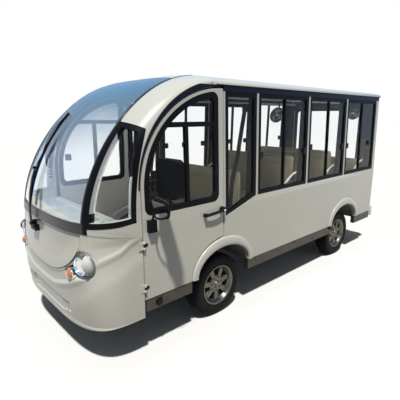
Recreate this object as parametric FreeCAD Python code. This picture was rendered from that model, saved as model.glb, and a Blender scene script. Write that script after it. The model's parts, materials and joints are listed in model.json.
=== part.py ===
"""Closed electric minibus: cab-forward body on a ladder frame, eleven seats.

Millimetres. The bus faces -Y, its left side is +X and +Z is up. The origin is on the
ground, at the middle of the length and of the width.
"""
import FreeCAD, Part
import math
import os

from FreeCAD import Vector as V

# ---- overall sizes
length = 4370.0
front_overhang = 1270.0
wheelbase = 2155.0
half_width = 750.0
roof_height = 2072.0

# ---- body heights
skirt_z = 465.0
belt_z = 1055.0
window_top_z = 1935.0
roof_edge_z = 1980.0
roof_fall = 13.0
roof_lip = 35.0
wall = 45.0
cowl_wall = 40.0
tumblehome = 31.0
seat_gap = 0.3
door_gap = 10.0

# ---- stations along the body, measured back from the front axle
door_front = -820.0
door_rear = -32.0
bay_ends = (402.0, 1227.0, 2040.0)
tail_y = 2909.0
roof_start = -139.0
pillar = 24.0

# ---- driver's and front passenger's door: upright front edge, quarter ellipse above
door_arch_y = -50.0
door_arch_z = 1250.0
door_top_z = 1955.0

# ---- side-view outlines are carried across the left wall between these
side_in = 500.0
side_out = half_width + 150.0

# ---- wheels and axles
tyre_radius = 280.0
tyre_width = 165.0
rim_radius = 181.0
track = 1190.0
kingpin_x = 480.0

# ---- wheel arches: half ellipses standing on the skirt line
arch_half_length = 312.0
arch_height = 203.0
flare_width = 62.0
flare_rise = 88.0
flare_proud = 12.0

# ---- ladder frame
rail_x = 300.0
rail_width = 60.0
rail_top_z = 445.0
rail_height = 100.0
deck_thickness = 30.0

os.makedirs("parts", exist_ok=True)

front_axle_y = front_overhang - length / 2
rear_axle_y = front_axle_y + wheelbase
tail = front_axle_y + tail_y
floor_z = rail_top_z + deck_thickness
wheel_x = track / 2


# ---------------------------------------------------------------- helpers
def along(y):
    """Body station measured back from the front axle, in the part's frame."""
    return front_axle_y + y


def box(x, y, z):
    """Box from three (low, high) pairs."""
    return Part.makeBox(x[1] - x[0], y[1] - y[0], z[1] - z[0], V(x[0], y[0], z[0]))


def rod(a, b, r):
    """Round bar of radius r from a to b."""
    return Part.makeCylinder(r, (b - a).Length, a, b - a)


def chain(points, r):
    """Round bars from point to point, with round knees."""
    bars = [rod(a, b, r) for a, b in zip(points, points[1:])]
    return bars + [Part.makeSphere(r, p) for p in points[1:-1]]


def mirrored(shape):
    """The same shape on the other side of the bus."""
    return shape.mirror(V(0, 0, 0), V(1, 0, 0))


def both(shape):
    """A shape and its mirror image, as one compound."""
    return Part.makeCompound([shape, mirrored(shape)])


def fused(shapes):
    """Union of several touching shapes."""
    return shapes[0].multiFuse(shapes[1:]).removeSplitter()


def prism(points, depth):
    """Polygon of 3D points extruded by the vector depth."""
    return Part.Face(Part.makePolygon(points + points[:1])).extrude(depth)


def side_prism(points):
    """Side-view polygon of (y, z) pairs carried across the left wall."""
    return prism([V(side_in, y, z) for y, z in points], V(side_out - side_in, 0, 0))


def write(name, shape):
    """Write one node, as its single solid or as a compound of its solids."""
    solids = shape.Solids
    body = solids[0] if len(solids) == 1 else Part.makeCompound(solids)
    body.exportStep("parts/" + name + ".step")


# ---------------------------------------------------------------- body surface
def side_x(z):
    """Half width of the body's outer face: upright to the belt, then leaning in."""
    lean = (z - 1000.0) / (roof_height - 1000.0)
    return half_width - 2.0 - tumblehome * max(lean, 0.0)


def superellipse(t, n):
    """Drop, 0 to 1, of a superellipse of exponent n at the share t of its half width."""
    return 1.0 - max(1.0 - abs(t) ** n, 0.0) ** (1.0 / n)


screen_foot = V(0, -1253.0, 1000.0)
screen_curve = (
    screen_foot,
    V(0, -1179.0, 1515.0),
    V(0, roof_start - 529.0, roof_height),
    V(0, roof_start, roof_height),
)
corner_foot = 466.0
corner_roof = roof_height - roof_edge_z
screen_power = 3.0


def screen_profile(s):
    """Centre line of the windscreen and its inward normal, s from 0 (foot) to 1 (roof)."""
    a, b, c, d = screen_curve
    r = 1.0 - s
    point = a * r ** 3 + b * (3 * r * r * s) + c * (3 * r * s * s) + d * s ** 3
    slope = (b - a) * (r * r) + (c - b) * (2 * r * s) + (d - c) * (s * s)
    slope.normalize()
    return point, V(0, slope.z, -slope.y)


def screen_point(s, t, run, inset):
    """Point of the bubble front, inset inwards.

    The centre line is carried across the width and pulled in towards the sides by a
    superellipse; run carries the edge on, flat along the side.
    """
    point, normal = screen_profile(s)
    corner = corner_foot + (corner_roof - corner_foot) * s ** 0.6
    depth = inset + (corner - inset) * superellipse(t, screen_power) + run
    place = point + normal * depth
    return V(t * (side_x(place.z) - inset), along(place.y), place.z)


nose_lip_z = 294.0
nose_lip_y = -1222.0
nose_bulge = 33.3


def nose_point(r, t, run, inset):
    """Point of the nose, r from 0 (lip) to 1 (foot of the windscreen)."""
    top = screen_point(0.0, t, run, inset)
    power = 4.0 - r
    front = nose_lip_y + (screen_foot.y - nose_lip_y) * r - 4 * nose_bulge * r * (1 - r)
    corner = corner_foot - 36.0 * (1 - r)
    drop = inset + (corner - inset) * superellipse(t, power) + run
    low = nose_lip_z + 36.0 * t ** 4
    z = low + (top.z - low) * r
    y = along(front) + drop
    return V(t * (side_x(z) - inset), y + (top.y - y) * r ** 4, z)


def across_stations(power):
    """Shares of the half width from -1 to 1, spaced evenly along the section."""
    count = 8
    turns = [math.pi / 2 * k / count for k in range(count + 1)]
    half = [math.sin(a) ** (2.0 / power) for a in turns]
    return [-t for t in reversed(half[1:])] + half


def surface(point, rows, inset, run):
    """Interpolated surface through point(row, t, run, inset)."""
    grid = []
    for row in rows:
        line = [point(row, t, 0.0, inset) for t in across_stations(screen_power)]
        if run:
            first = [point(row, -1.0, run * k, inset) for k in (1.0, 0.5)]
            last = [point(row, 1.0, run * k, inset) for k in (0.5, 1.0)]
            line = first + line + last
        grid.append(line)
    sheet = Part.BSplineSurface()
    sheet.interpolate(grid)
    return sheet


def skin(point, rows, inner, outer=0.0, run=0.0):
    """Solid between the surface at the inset outer and the one at the inset inner."""
    faces = [surface(point, rows, inset, run) for inset in (outer, inner)]
    rims = []
    for sheet in faces:
        u0, u1, v0, v1 = sheet.bounds()
        rims.append([sheet.uIso(u0), sheet.uIso(u1), sheet.vIso(v0), sheet.vIso(v1)])
    sides = [Part.makeRuledSurface(a.toShape(), b.toShape()) for a, b in zip(*rims)]
    shell = Part.makeShell([sheet.toShape() for sheet in faces] + sides)
    shell.sewShape()
    solid = Part.makeSolid(shell)
    if solid.Volume < 0:
        solid.reverse()
    return solid


screen_rows = [k / 12.0 for k in range(13)]
nose_rows = [k / 6.0 for k in range(7)]


# ---------------------------------------------------------------- side walls
def slab(outer, inner, y, z):
    """Upright piece of side wall between two insets from the outer face, left side."""
    levels = [z[0]] + [k for k in (1000.0,) if z[0] < k < z[1]] + [z[1]]
    outside = [V(side_x(k) - outer, y[0], k) for k in levels]
    inside = [V(side_x(k) - inner, y[0], k) for k in reversed(levels)]
    return prism(outside + inside, V(0, y[1] - y[0], 0))


def ellipse_quarter(centre, a, b):
    """Quarter ellipse edge from centre + a to centre + b."""
    long_end, short_end = (a, b) if a.Length >= b.Length else (b, a)
    curve = Part.Ellipse(centre + long_end, centre + short_end, centre)
    return Part.ArcOfEllipse(curve, 0.0, math.pi / 2).toShape()


def line(a, b):
    """Straight edge."""
    return Part.LineSegment(a, b).toShape()


def region(edges):
    """Closed side-view outline carried across the wall."""
    return Part.Face(Part.Wire(edges)).extrude(V(side_out - side_in, 0, 0))


def side_point(y, z):
    """Point of a side-view outline, inboard of the wall."""
    return V(side_in, y, z)


def door_region(grow):
    """Outline of a front door, grown all round."""
    front, rear = along(door_front) - grow, along(door_rear) + grow
    middle, low, top = along(door_arch_y), skirt_z - grow, door_top_z + grow
    centre = side_point(middle, door_arch_z)
    arch = ellipse_quarter(centre, V(0, front - middle, 0), V(0, 0, top - door_arch_z))
    corners = [side_point(middle, top), side_point(rear, top), side_point(rear, low)]
    corners += [side_point(front, low), side_point(front, door_arch_z)]
    return region([arch] + [line(a, b) for a, b in zip(corners, corners[1:])])


def arch_region(axle_y, grow):
    """Wheel arch opening: half ellipse over the skirt line, open below."""
    a, b = arch_half_length + grow, arch_height + grow * flare_rise / flare_width
    centre = side_point(axle_y, skirt_z)
    low = skirt_z - 150.0
    front = ellipse_quarter(centre, V(0, -a, 0), V(0, 0, b))
    rear = ellipse_quarter(centre, V(0, a, 0), V(0, 0, b))
    corners = [side_point(axle_y + a, skirt_z), side_point(axle_y + a, low)]
    corners += [side_point(axle_y - a, low), side_point(axle_y - a, skirt_z)]
    return region([front, rear] + [line(p, q) for p, q in zip(corners, corners[1:])])


def arches(grow):
    """Both wheel arch openings of one side."""
    return arch_region(front_axle_y, grow).fuse(arch_region(rear_axle_y, grow))


def bay_window(bay, inset):
    """Outline of side window 0 to 3, front to back; window 0 has a sloping sill."""
    starts = (door_rear + door_gap + 5.0,) + tuple(end for end in bay_ends)
    ends = bay_ends + (tail_y - wall - 7.0,)
    y0 = along(starts[bay]) + pillar / 2 + inset
    y1 = along(ends[bay]) - pillar / 2 - inset
    sill = belt_z + inset
    drop = window_a_drop if bay == 0 else 0.0
    top = window_top_z - inset
    return side_prism([(y0, sill - drop), (y1, sill), (y1, top), (y0, top)])


window_a_drop = 122.0
bar = 38.0
frame_out = 3.0
frame_in = 33.0
glass_out = 14.0
glass_in = 19.0


def window_set(outer, inner, y, bars):
    """Black frame with its bars, and glass, filling a window outline."""
    frame = slab(frame_out, frame_in, y, (skirt_z, roof_edge_z))
    ring = frame.common(outer).cut(inner)
    ring = fused([ring] + [frame.common(inner).common(each) for each in bars])
    pane = slab(glass_out, glass_in, y, (skirt_z, roof_edge_z)).common(inner)
    return ring, pane.cut(ring)


def divider(y):
    """Upright bar of a sliding window."""
    return box((side_in, side_out), (y - 10.0, y + 10.0), (skirt_z, roof_edge_z))


def bay_frames():
    """Frames and panes of the four left side windows."""
    whole = (along(door_rear), tail)
    frames, panes = [], []
    for bay in range(4):
        outer, inner = bay_window(bay, seat_gap), bay_window(bay, bar)
        middle = inner.BoundBox.Center.y
        bars = [divider(middle)] if bay else []
        frame, pane = window_set(outer, inner, whole, bars)
        frames.append(frame)
        panes.append(pane)
    return frames, panes


def left_wall():
    """White left wall behind the driver's door, with its pillars between windows."""
    wall_piece = slab(0, wall, (along(door_rear) + door_gap, tail), (skirt_z, window_top_z))
    wall_piece = wall_piece.cut(arches(flare_width))
    for bay in range(4):
        wall_piece = wall_piece.cut(bay_window(bay, 0.0))
    return wall_piece


def upper_rail():
    """Dark rail over the side windows."""
    y = (along(door_rear) + door_gap, tail)
    return slab(0, wall, y, (window_top_z, roof_edge_z))


def flares():
    """Raised wheel arch lips of one side."""
    lip = slab(-flare_proud, wall, (along(door_front), tail), (skirt_z, belt_z))
    rings = []
    for axle_y in (front_axle_y, rear_axle_y):
        ring = arch_region(axle_y, flare_width - seat_gap).cut(arch_region(axle_y, 0.0))
        rings.append(lip.common(ring))
    return rings


def sill(y, top):
    """Grey sill strip of one side between two stations."""
    return box((deck_half + seat_gap, sill_x), y, (sill_z, top))


deck_half = half_width - wall - 10.0
sill_x = half_width - 8.0
sill_z = 365.0


def sill_strips():
    """Sill strips of both sides: full height under fixed walls, lowered under doors."""
    lowered = skirt_z - door_gap
    front = (along(door_front) + 10.0, front_axle_y - arch_half_length - flare_width)
    middle = (front_axle_y + arch_half_length, rear_axle_y - arch_half_length)
    last = (rear_axle_y + arch_half_length, tail)
    left = [sill(front, lowered), sill(middle, skirt_z), sill(last, skirt_z)]
    right = [sill(front, lowered), sill(middle, lowered), sill(last, skirt_z)]
    return Part.makeCompound(left + [mirrored(piece) for piece in right])


# ---------------------------------------------------------------- front doors
door_strip = 22.0
door_sill = 1078.0
door_window_rear = -80.0
window_corner = 60.0


def door_window(inset):
    """D-shaped window outline of a front door, with round corners."""
    edge = door_strip + inset
    low, rear = door_sill + inset, along(door_window_rear) - inset
    whole = door_region(-edge)
    kept = box((side_in, side_out), (along(door_front), rear), (low, roof_edge_z))
    shape = whole.common(kept)
    bounds = shape.BoundBox
    corners = []
    for edge_line in shape.Edges:
        middle = edge_line.CenterOfMass
        across = edge_line.BoundBox.XLength > 100.0
        at_rear = abs(middle.y - bounds.YMax) < 0.1
        at_low_front = abs(middle.y - bounds.YMin) < 0.1 and abs(middle.z - low) < 0.1
        if across and (at_rear or at_low_front):
            corners.append(edge_line)
    return shape.makeFillet(window_corner - 0.5 * inset, corners)


def front_door():
    """Left front door skin, window frame and glass."""
    span = (along(door_front), along(door_rear))
    skin_piece = slab(0, wall, span, (skirt_z, roof_edge_z)).common(door_region(0.0))
    skin_piece = skin_piece.cut(arch_region(front_axle_y, flare_width + door_gap))
    outer, inner = door_window(seat_gap), door_window(bar + 7.0)
    cross = box((side_in, side_out), span, (1672.0, 1708.0))
    post = box((side_in, side_out), (along(-420.0), along(-390.0)), (skirt_z, 1700.0))
    frame, glass = window_set(outer, inner, span, [cross, post])
    return skin_piece.cut(door_window(0.0)), frame, glass


def door_handle():
    """Pull handle of the left front door."""
    z, y0, y1 = 1000.0, along(-262.0), along(-52.0)
    x = side_x(z)
    grip = box((x + 22.0, x + 40.0), (y0, y1), (z - 14.0, z + 14.0))
    feet = [box((x, x + 22.0), (y, y + 34.0), (z - 14.0, z + 14.0)) for y in (y0, y1 - 34.0)]
    return fused([grip] + feet)


mirror_y = -760.0
mirror_z = 1368.0
mirror_x = half_width + 230.0
mirror_size = V(215.0, 55.0, 247.0)
arm_radius = 7.0
arm_ring = V(half_width + 112.0, 12.0, 1108.0)
arm_ring_radius = 46.0


def mirror():
    """Left outside mirror: block on the front door, ring, arm and housing."""
    y = along(mirror_y)
    x = side_x(1000.0)
    block = box((x, x + 38.0), (y - 30.0, y + 30.0), (968.0, 1054.0))
    ring = V(arm_ring.x, y + arm_ring.y, arm_ring.z)
    lean = V(0.25, -0.25, 1.0)
    loop = Part.makeTorus(arm_ring_radius, arm_radius, ring, lean)
    near = V(ring.x - arm_ring_radius, ring.y, ring.z + 0.25 * arm_ring_radius)
    far = V(ring.x + arm_ring_radius, ring.y, ring.z - 0.25 * arm_ring_radius)
    under = V(mirror_x, y, mirror_z - mirror_size.z / 2 + 14.0)
    arm = chain([V(x + 24.0, y, 1044.0), V(x + 30.0, y + 6.0, 1088.0), near], arm_radius)
    arm += chain([far, far + V(46.0, -6.0, 26.0), under - V(4.0, 0, 46.0), under], arm_radius)
    corner = V(mirror_x, y, mirror_z) - mirror_size / 2
    housing = Part.makeBox(mirror_size.x, mirror_size.y, mirror_size.z, corner)
    upright = [e for e in housing.Edges if e.BoundBox.YLength > 50.0]
    housing = housing.makeFillet(42.0, upright)
    return fused([block, loop] + arm + [housing])


# ---------------------------------------------------------------- passenger doors
door_frame_strip = 26.0
centre_post = 40.0


def passenger_door(front, rear):
    """Passenger door between two stations: skin, frame and panes, on the left."""
    y = (front, rear)
    skin_piece = slab(0, wall, y, (skirt_z, window_top_z - door_gap))
    skin_piece = skin_piece.cut(arch_region(rear_axle_y, flare_width + door_gap))
    outlines = []
    for inset in (0.0, seat_gap, bar):
        y0, y1 = front + door_frame_strip + inset, rear - door_frame_strip - inset
        z0, z1 = belt_z + inset, window_top_z - door_gap - door_frame_strip - inset
        outlines.append(side_prism([(y0, z0), (y1, z0), (y1, z1), (y0, z1)]))
    bars = [divider((front + rear) / 2)]
    frame, pane = window_set(outlines[1], outlines[2], y, bars)
    return skin_piece.cut(outlines[0]), frame, pane


def passenger_handle(rear):
    """Pull handle near the rear edge of a passenger door, on the left."""
    z = 990.0
    x = side_x(z)
    grip = box((x + 20.0, x + 36.0), (rear - 200.0, rear - 50.0), (z - 12.0, z + 12.0))
    feet = [box((x, x + 20.0), (y, y + 24.0), (z - 12.0, z + 12.0)) for y in (rear - 200.0, rear - 74.0)]
    return fused([grip] + feet)


def right_panels(wall_piece):
    """Fixed right wall ahead of and behind the passenger doors."""
    front = box((-side_out, -side_in), (along(door_rear), along(bay_ends[0])), (0, 3000.0))
    rear = box((-side_out, -side_in), (along(bay_ends[2]), tail), (0, 3000.0))
    y = (along(bay_ends[1]) - centre_post / 2, along(bay_ends[1]) + centre_post / 2)
    post = mirrored(slab(0, wall, y, (skirt_z - door_gap, window_top_z)))
    return [wall_piece.common(front), post, wall_piece.common(rear)]


hinge_pin = 4.0
hinge_barrel = 7.0
hinge_half = 30.0
hinge_out = 14.0
hinge_leaf = 36.0
hinge_plate = 4.0
hinge_levels = (560.0, 880.0)


def hinge_halves(y, z):
    """One door hinge on the left: its pin with the fixed leaf, and the door's leaf."""
    x = half_width - 2.0
    axis = V(x + hinge_out, y, z)
    up = V(0, 0, hinge_half)
    middle = V(0, 0, hinge_half / 3)
    pin = rod(axis - up, axis + up, hinge_pin)
    fixed = [pin]
    for low in (axis - up, axis + middle * 1.1):
        barrel = rod(low, low + V(0, 0, hinge_half * 0.63), hinge_barrel)
        neck = box((x + seat_gap, x + hinge_out), (y - hinge_barrel, y - 1.0),
                   (low.z, low.z + hinge_half * 0.63))
        fixed += [barrel, neck]
    fixed.append(box((x + seat_gap, x + hinge_plate), (y - hinge_leaf, y - 1.0),
                     (z - hinge_half, z + hinge_half)))
    moving = rod(axis - middle, axis + middle, hinge_barrel)
    moving = moving.fuse(box((x, x + hinge_out), (y + 5.0, y + 11.0),
                             (z - hinge_half / 3, z + hinge_half / 3)))
    moving = moving.fuse(box((x + hinge_out - 5.0, x + hinge_out), (y + 3.0, y + 11.0),
                             (z - hinge_half / 3, z + hinge_half / 3)))
    moving = moving.fuse(box((x, x + hinge_plate), (y + 5.0, y + hinge_leaf),
                             (z - hinge_half / 3, z + hinge_half / 3)))
    return fused(fixed), moving.cut(rod(axis - up, axis + up, hinge_pin + pin_clear))


def door_hinges(y):
    """Fixed and moving halves of the two hinges of a door hung at station y, on the left."""
    halves = [hinge_halves(y, z) for z in hinge_levels]
    return [fixed for fixed, moving in halves], [moving for fixed, moving in halves]


# ---------------------------------------------------------------- front
screen_foot_z = 1022.0
screen_half_foot = 556.0
screen_half_top = 500.0
screen_top_y = -360.0


def leaning_strip(grow, edge):
    """Region across the front between x = edge and the windscreen's side, grown by grow."""
    low, high = screen_foot_z, 2200.0
    lean = (screen_half_foot - screen_half_top) / 1000.0
    foot = screen_half_foot + grow
    top = foot - lean * (high - low)
    bottom = foot + lean * (low - 900.0)
    y = along(-1500.0)
    points = [V(bottom, y, 900.0), V(edge, y, 900.0), V(edge, y, high), V(top, y, high)]
    return prism(points, V(0, along(screen_top_y) - y, 0))


def screen_opening(shrink):
    """Windscreen opening: leaning sides, level foot and a straight rear edge."""
    half = leaning_strip(-shrink, 0.0)
    y = (along(-1600.0), along(screen_top_y) - shrink)
    kept = box((-side_out, side_out), y, (screen_foot_z + shrink, 2300.0))
    return half.fuse(mirrored(half)).removeSplitter().common(kept)


quarter_post = 20.0
quarter_in = 430.0
quarter_front_y = -1300.0
quarter_foot = (-870.0, 1052.0)
quarter_top = (-748.0, 1668.0)
quarter_middle = (-832.0, 1400.0)
quarter_foot_slope = 0.07
quarter_top_slope = 0.54


def quarter_opening(inset):
    """Left quarter window outline, moved in by inset.

    In side view it has a bowed rear edge; its front edge runs beside the windscreen.
    """
    ahead_foot = quarter_foot[1] + (quarter_front_y - quarter_foot[0]) * quarter_foot_slope
    ahead_top = quarter_top[1] - (quarter_front_y - quarter_top[0]) * quarter_top_slope
    outline = (quarter_foot, (quarter_front_y, ahead_foot), (quarter_front_y, ahead_top),
               quarter_top, quarter_middle)
    foot, low, high, top, middle = [V(quarter_in, along(y), z) for y, z in outline]
    edges = [line(foot, low), line(low, high), line(high, top)]
    edges.append(Part.Arc(top, middle, foot).toShape())
    wire = Part.Wire(edges)
    if inset:
        wire = wire.makeOffset2D(-inset, 2)
    side = Part.Face(wire).extrude(V(side_out - quarter_in, 0, 0))
    return side.common(leaning_strip(quarter_post + inset, side_out))


def front_arch():
    """White arch over the cab: corner pillars, screen header and door arches."""
    shape = skin(screen_point, screen_rows, cowl_wall, run=120.0)
    shape = shape.cut(screen_opening(0.0))
    for cutter in (quarter_opening(0.0), door_region(door_gap)):
        shape = shape.cut(cutter).cut(mirrored(cutter))
    return shape


bonnet_half = 545.0
bonnet_drop = 338.0
bonnet_power = 2.5
lamp_x = 558.0
lamp_z = 771.0
lamp_radius = 72.0
signal_x = 462.0
signal_z = 708.0
signal_radius = 30.0


def forward_bar(x, z, r):
    """Round cutter along the bus, through the nose only."""
    y = along(-1500.0)
    return Part.makeCylinder(r, 700.0, V(x, y, z), V(0, 1, 0))


def bonnet_outline(shrink):
    """Region of the service panel seen from ahead: half a superellipse, open upwards."""
    y = along(-1500.0)
    count = 12
    turns = [math.pi / 2 * k / count for k in range(-count, count + 1)]
    points = []
    for a in turns:
        x = abs(math.sin(a)) ** (2 / bonnet_power) * (bonnet_half - shrink)
        drop = max(math.cos(a), 0.0) ** (2 / bonnet_power) * (bonnet_drop - shrink)
        points.append(V(math.copysign(x, a), y, screen_foot.z - drop))
    curve = Part.BSplineCurve()
    curve.interpolate(points)
    high = V(0, 0, 300.0)
    first, last = points[0], points[-1]
    edges = [curve.toShape(), line(last, last + high)]
    edges += [line(last + high, first + high), line(first + high, first)]
    return Part.Face(Part.Wire(edges)).extrude(V(0, 700.0, 0))


def nose():
    """White nose shell from the windscreen foot to the front lip."""
    shape = skin(nose_point, nose_rows, cowl_wall)
    rear = box((-side_out, side_out), (along(door_front) - door_gap, along(0)), (0, 1300.0))
    shape = shape.cut(rear)
    shape = shape.cut(bonnet_outline(0.0))
    for x in (-1, 1):
        shape = shape.cut(forward_bar(x * lamp_x, lamp_z, lamp_radius))
        shape = shape.cut(forward_bar(x * signal_x, signal_z, signal_radius))
    return shape


def bonnet_panel():
    """Front service panel with its rounded outline, let into the nose."""
    sheet = skin(nose_point, nose_rows, 34.0, outer=4.0)
    return sheet.common(bonnet_outline(seat_gap))


def lamps(x, z, r):
    """Pair of round lamps filling their bores."""
    sheet = skin(nose_point, nose_rows, 50.0, outer=3.0)
    near = box((-side_out, side_out), (along(-1400.0), along(-1000.0)), (0, 1300.0))
    return [sheet.common(forward_bar(s * x, z, r - seat_gap)).common(near) for s in (-1, 1)]


def windscreen():
    """Curved laminated windscreen, running up onto the roof."""
    sheet = skin(screen_point, screen_rows, glass_in - 4.0, outer=glass_out - 6.0)
    return sheet.common(screen_opening(seat_gap))


def quarter_window():
    """Left quarter window: rubber frame and glass."""
    outer, inner = quarter_opening(seat_gap), quarter_opening(40.0)
    rubber = skin(screen_point, screen_rows, 30.0, outer=-2.0).common(outer).cut(inner)
    glass = skin(screen_point, screen_rows, glass_in, outer=glass_out)
    return rubber, glass.common(inner)


def wiper():
    """Windscreen wiper: pivot on the nose, arm and long blade just off the glass."""
    foot = nose_point(0.94, -0.10, 0.0, 0.0)
    under = skin(nose_point, nose_rows, 60.0, outer=4.0 - seat_gap)
    pivot = rod(foot + V(0, 20.0, 0), foot + V(0, -12.0, 0), 14.0).cut(under)
    knee = screen_point(0.22, -0.30, 0.0, -26.0)
    bends = [screen_point(s, -0.12 - 0.8 * s, 0.0, -12.0 - 60.0 * s) for s in (0.03, 0.12)]
    arm = chain([foot + V(0, -7.0, 0)] + bends + [knee], 4.5)
    stations = [0.06, 0.175, 0.29, 0.405, 0.52]
    blade = chain([screen_point(s, -0.22 - 0.30 * s, 0.0, -13.0) for s in stations], 5.0)
    link = rod(knee, screen_point(0.24, -0.292, 0.0, -12.0), 5.0)
    return fused([pivot, Part.makeSphere(5.0, knee), link] + arm + blade)


# ---------------------------------------------------------------- roof and rear
def roof_section(inset, y):
    """Closed outline of the roof at the station y, its crown falling towards the tail."""
    fall = 1.0 - roof_fall / corner_roof * (y - along(roof_start)) / (tail - along(roof_start))
    points = [screen_point(1.0, t, 0.0, inset) for t in across_stations(screen_power)]
    points = [V(p.x, y, roof_edge_z + (p.z - roof_edge_z) * fall) for p in points]
    curve = Part.BSplineCurve()
    curve.interpolate(points)
    return Part.Wire([curve.toShape(), line(points[-1], points[0])])


def roof():
    """Crowned roof shell, open below, with a closed lip past the rear wall."""
    start = along(roof_start)
    ends = [roof_section(0.0, y) for y in (start, tail + roof_lip)]
    hollow = [roof_section(cowl_wall, y) for y in (start, tail - wall)]
    doorway = door_region(door_gap)
    shell = Part.makeLoft(ends, True, True).cut(Part.makeLoft(hollow, True, True))
    return shell.cut(doorway).cut(mirrored(doorway))


rear_window_half = 520.0
rear_window_low = 1080.0
rear_window_high = 1850.0
rear_corner = 70.0


def rear_opening(inset):
    """Rear window outline with round corners, carried along the bus."""
    half, low, high = rear_window_half - inset, rear_window_low + inset, rear_window_high - inset
    shape = box((-half, half), (tail - 100.0, tail + 100.0), (low, high))
    uprights = [e for e in shape.Edges if e.BoundBox.YLength > 150.0]
    return shape.makeFillet(rear_corner - 0.5 * inset, uprights)


def rear_slab(outer, inner):
    """Plate across the rear between the side walls, from skirt to roof."""
    levels = (skirt_z, 1000.0, roof_edge_z)
    side = wall + seat_gap
    right = [V(side_x(z) - side, tail - inner, z) for z in levels]
    left = [V(side - side_x(z), tail - inner, z) for z in reversed(levels)]
    return prism(right + left, V(0, inner - outer, 0))


def rear_wall():
    """White rear wall with its window opening."""
    return rear_slab(0.0, wall).cut(rear_opening(0.0))


def rear_window():
    """Rubber frame and glass of the rear window."""
    rubber = rear_slab(-2.0, 30.0).common(rear_opening(seat_gap)).cut(rear_opening(36.0))
    return rubber, rear_slab(glass_out, glass_in).common(rear_opening(36.0))


def tail_lamp():
    """Left tail lamp cluster on the rear wall."""
    return box((560.0, 660.0), (tail, tail + 26.0), (700.0, 960.0))


def rear_bumper():
    """Step bumper across the rear."""
    reach = half_width - 30.0
    shape = box((-reach, reach), (tail + seat_gap, length / 2), (370.0, 486.0))
    outer = [e for e in shape.Edges if e.BoundBox.ZLength > 100.0 and e.CenterOfMass.y > tail + 50]
    return shape.makeFillet(50.0, outer)


# ---------------------------------------------------------------- frame and floor
rail_front = -1120.0
rail_rear = 2860.0
rail_inner = rail_x - rail_width / 2
rail_outer = rail_x + rail_width / 2
cross_stations = (-1060.0, -560.0, 480.0, 1020.0, wheelbase - 595.0, 2700.0)
outriggers = (560.0, 660.0, 660.0, 660.0, 660.0, 660.0)
cross_low_z = 385.0
wheelhouse_radius = 392.0
wheelhouse_wall = 13.0
wheelhouse_x = 345.0
tow_hole_radius = 11.0
tow_plate = 14.0
front_tow_y = -2087.0
front_tow_z = 262.0
rear_tow_y = 2120.0
rear_tow_z = 300.0


def wheelhouse_void(axle_y, grow):
    """Round void over one left wheel."""
    r = wheelhouse_radius + grow
    start = wheelhouse_x + wheelhouse_wall - grow
    return rod(V(start, axle_y, tyre_radius), V(side_out, axle_y, tyre_radius), r)


def tow_eye(y_hole, y_root, z):
    """Flat tow eye with its web up to a cross member."""
    y0, y1 = min(y_hole, y_root) - 23.0, max(y_hole, y_root) + 23.0
    plate = box((-40.0, 40.0), (y0, y1), (z, z + tow_plate))
    web = box((-40.0, 40.0), (y_root - 12.0, y_root + 12.0), (z, cross_low_z))
    hole = rod(V(0, y_hole, z - 5.0), V(0, y_hole, z + 40.0), tow_hole_radius)
    return plate.cut(hole).fuse(web)


def frame_rail():
    """Left longitudinal rail of the ladder frame."""
    y = (along(rail_front), along(rail_rear))
    return box((rail_inner, rail_outer), y, (rail_top_z - rail_height, rail_top_z))


def cross_members():
    """Cross members between the rails, carried on outside them as outriggers."""
    members = []
    for station, reach in zip(cross_stations, outriggers):
        y = (along(station) - 20.0, along(station) + 20.0)
        z = (cross_low_z, rail_top_z)
        members.append(box((-rail_inner, rail_inner), y, z))
        members.append(both(box((rail_outer, reach), y, z)))
    return Part.makeCompound(members)


def tow_eyes():
    """Tow eyes under the first and the last cross member."""
    front = tow_eye(front_tow_y, along(cross_stations[0]), front_tow_z)
    rear = tow_eye(rear_tow_y, along(cross_stations[-1]), rear_tow_z)
    return Part.makeCompound([front, rear])


def floor():
    """Floor deck on the frame, reaching into the nose, cut out over the wheels."""
    z = (rail_top_z, floor_z)
    deck = box((-deck_half, deck_half), (along(-840.0), tail - wall - seat_gap), z)
    rim_band = skin(nose_point, nose_rows, 420.0, outer=cowl_wall + seat_gap)
    level = box((-side_out, side_out), (along(-1400.0), along(door_front) - door_gap), z)
    toe = rim_band.common(level)
    middle = box((-450.0, 450.0), (along(-1000.0), along(-780.0)), z)
    deck = fused([deck, toe, middle])
    for axle_y in (front_axle_y, rear_axle_y):
        void = wheelhouse_void(axle_y, wheelhouse_wall + seat_gap)
        deck = deck.cut(void).cut(mirrored(void))
    return deck


def wheelhouse(axle_y):
    """Left wheelhouse: a half tunnel over the wheel, closed inboard."""
    outer = rod(V(wheelhouse_x, axle_y, tyre_radius), V(deck_half, axle_y, tyre_radius),
                wheelhouse_radius + wheelhouse_wall)
    shape = outer.cut(wheelhouse_void(axle_y, 0.0))
    below = box((0.0, side_out), (axle_y - 600.0, axle_y + 600.0), (-400.0, rail_top_z))
    return shape.cut(below)


def leaf_spring(axle_y, half_span):
    """Left leaf spring: an arc band hung under the frame rail, seated on the axle."""
    x = rail_x - 25.0
    seat = tyre_radius + axle_tube
    hang = rail_top_z - rail_height
    def arc(drop):
        ends = [V(x, axle_y - half_span, hang - drop), V(x, axle_y + half_span, hang - drop)]
        middle = V(x, axle_y, seat + spring_pack - drop)
        return Part.Arc(ends[0], middle, ends[1]).toShape(), ends
    top, top_ends = arc(0.0)
    low, low_ends = arc(spring_pack)
    sides = [line(a, b) for a, b in zip(top_ends, low_ends)]
    return Part.Face(Part.Wire([top, sides[1], low, sides[0]])).extrude(V(50.0, 0, 0))


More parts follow.
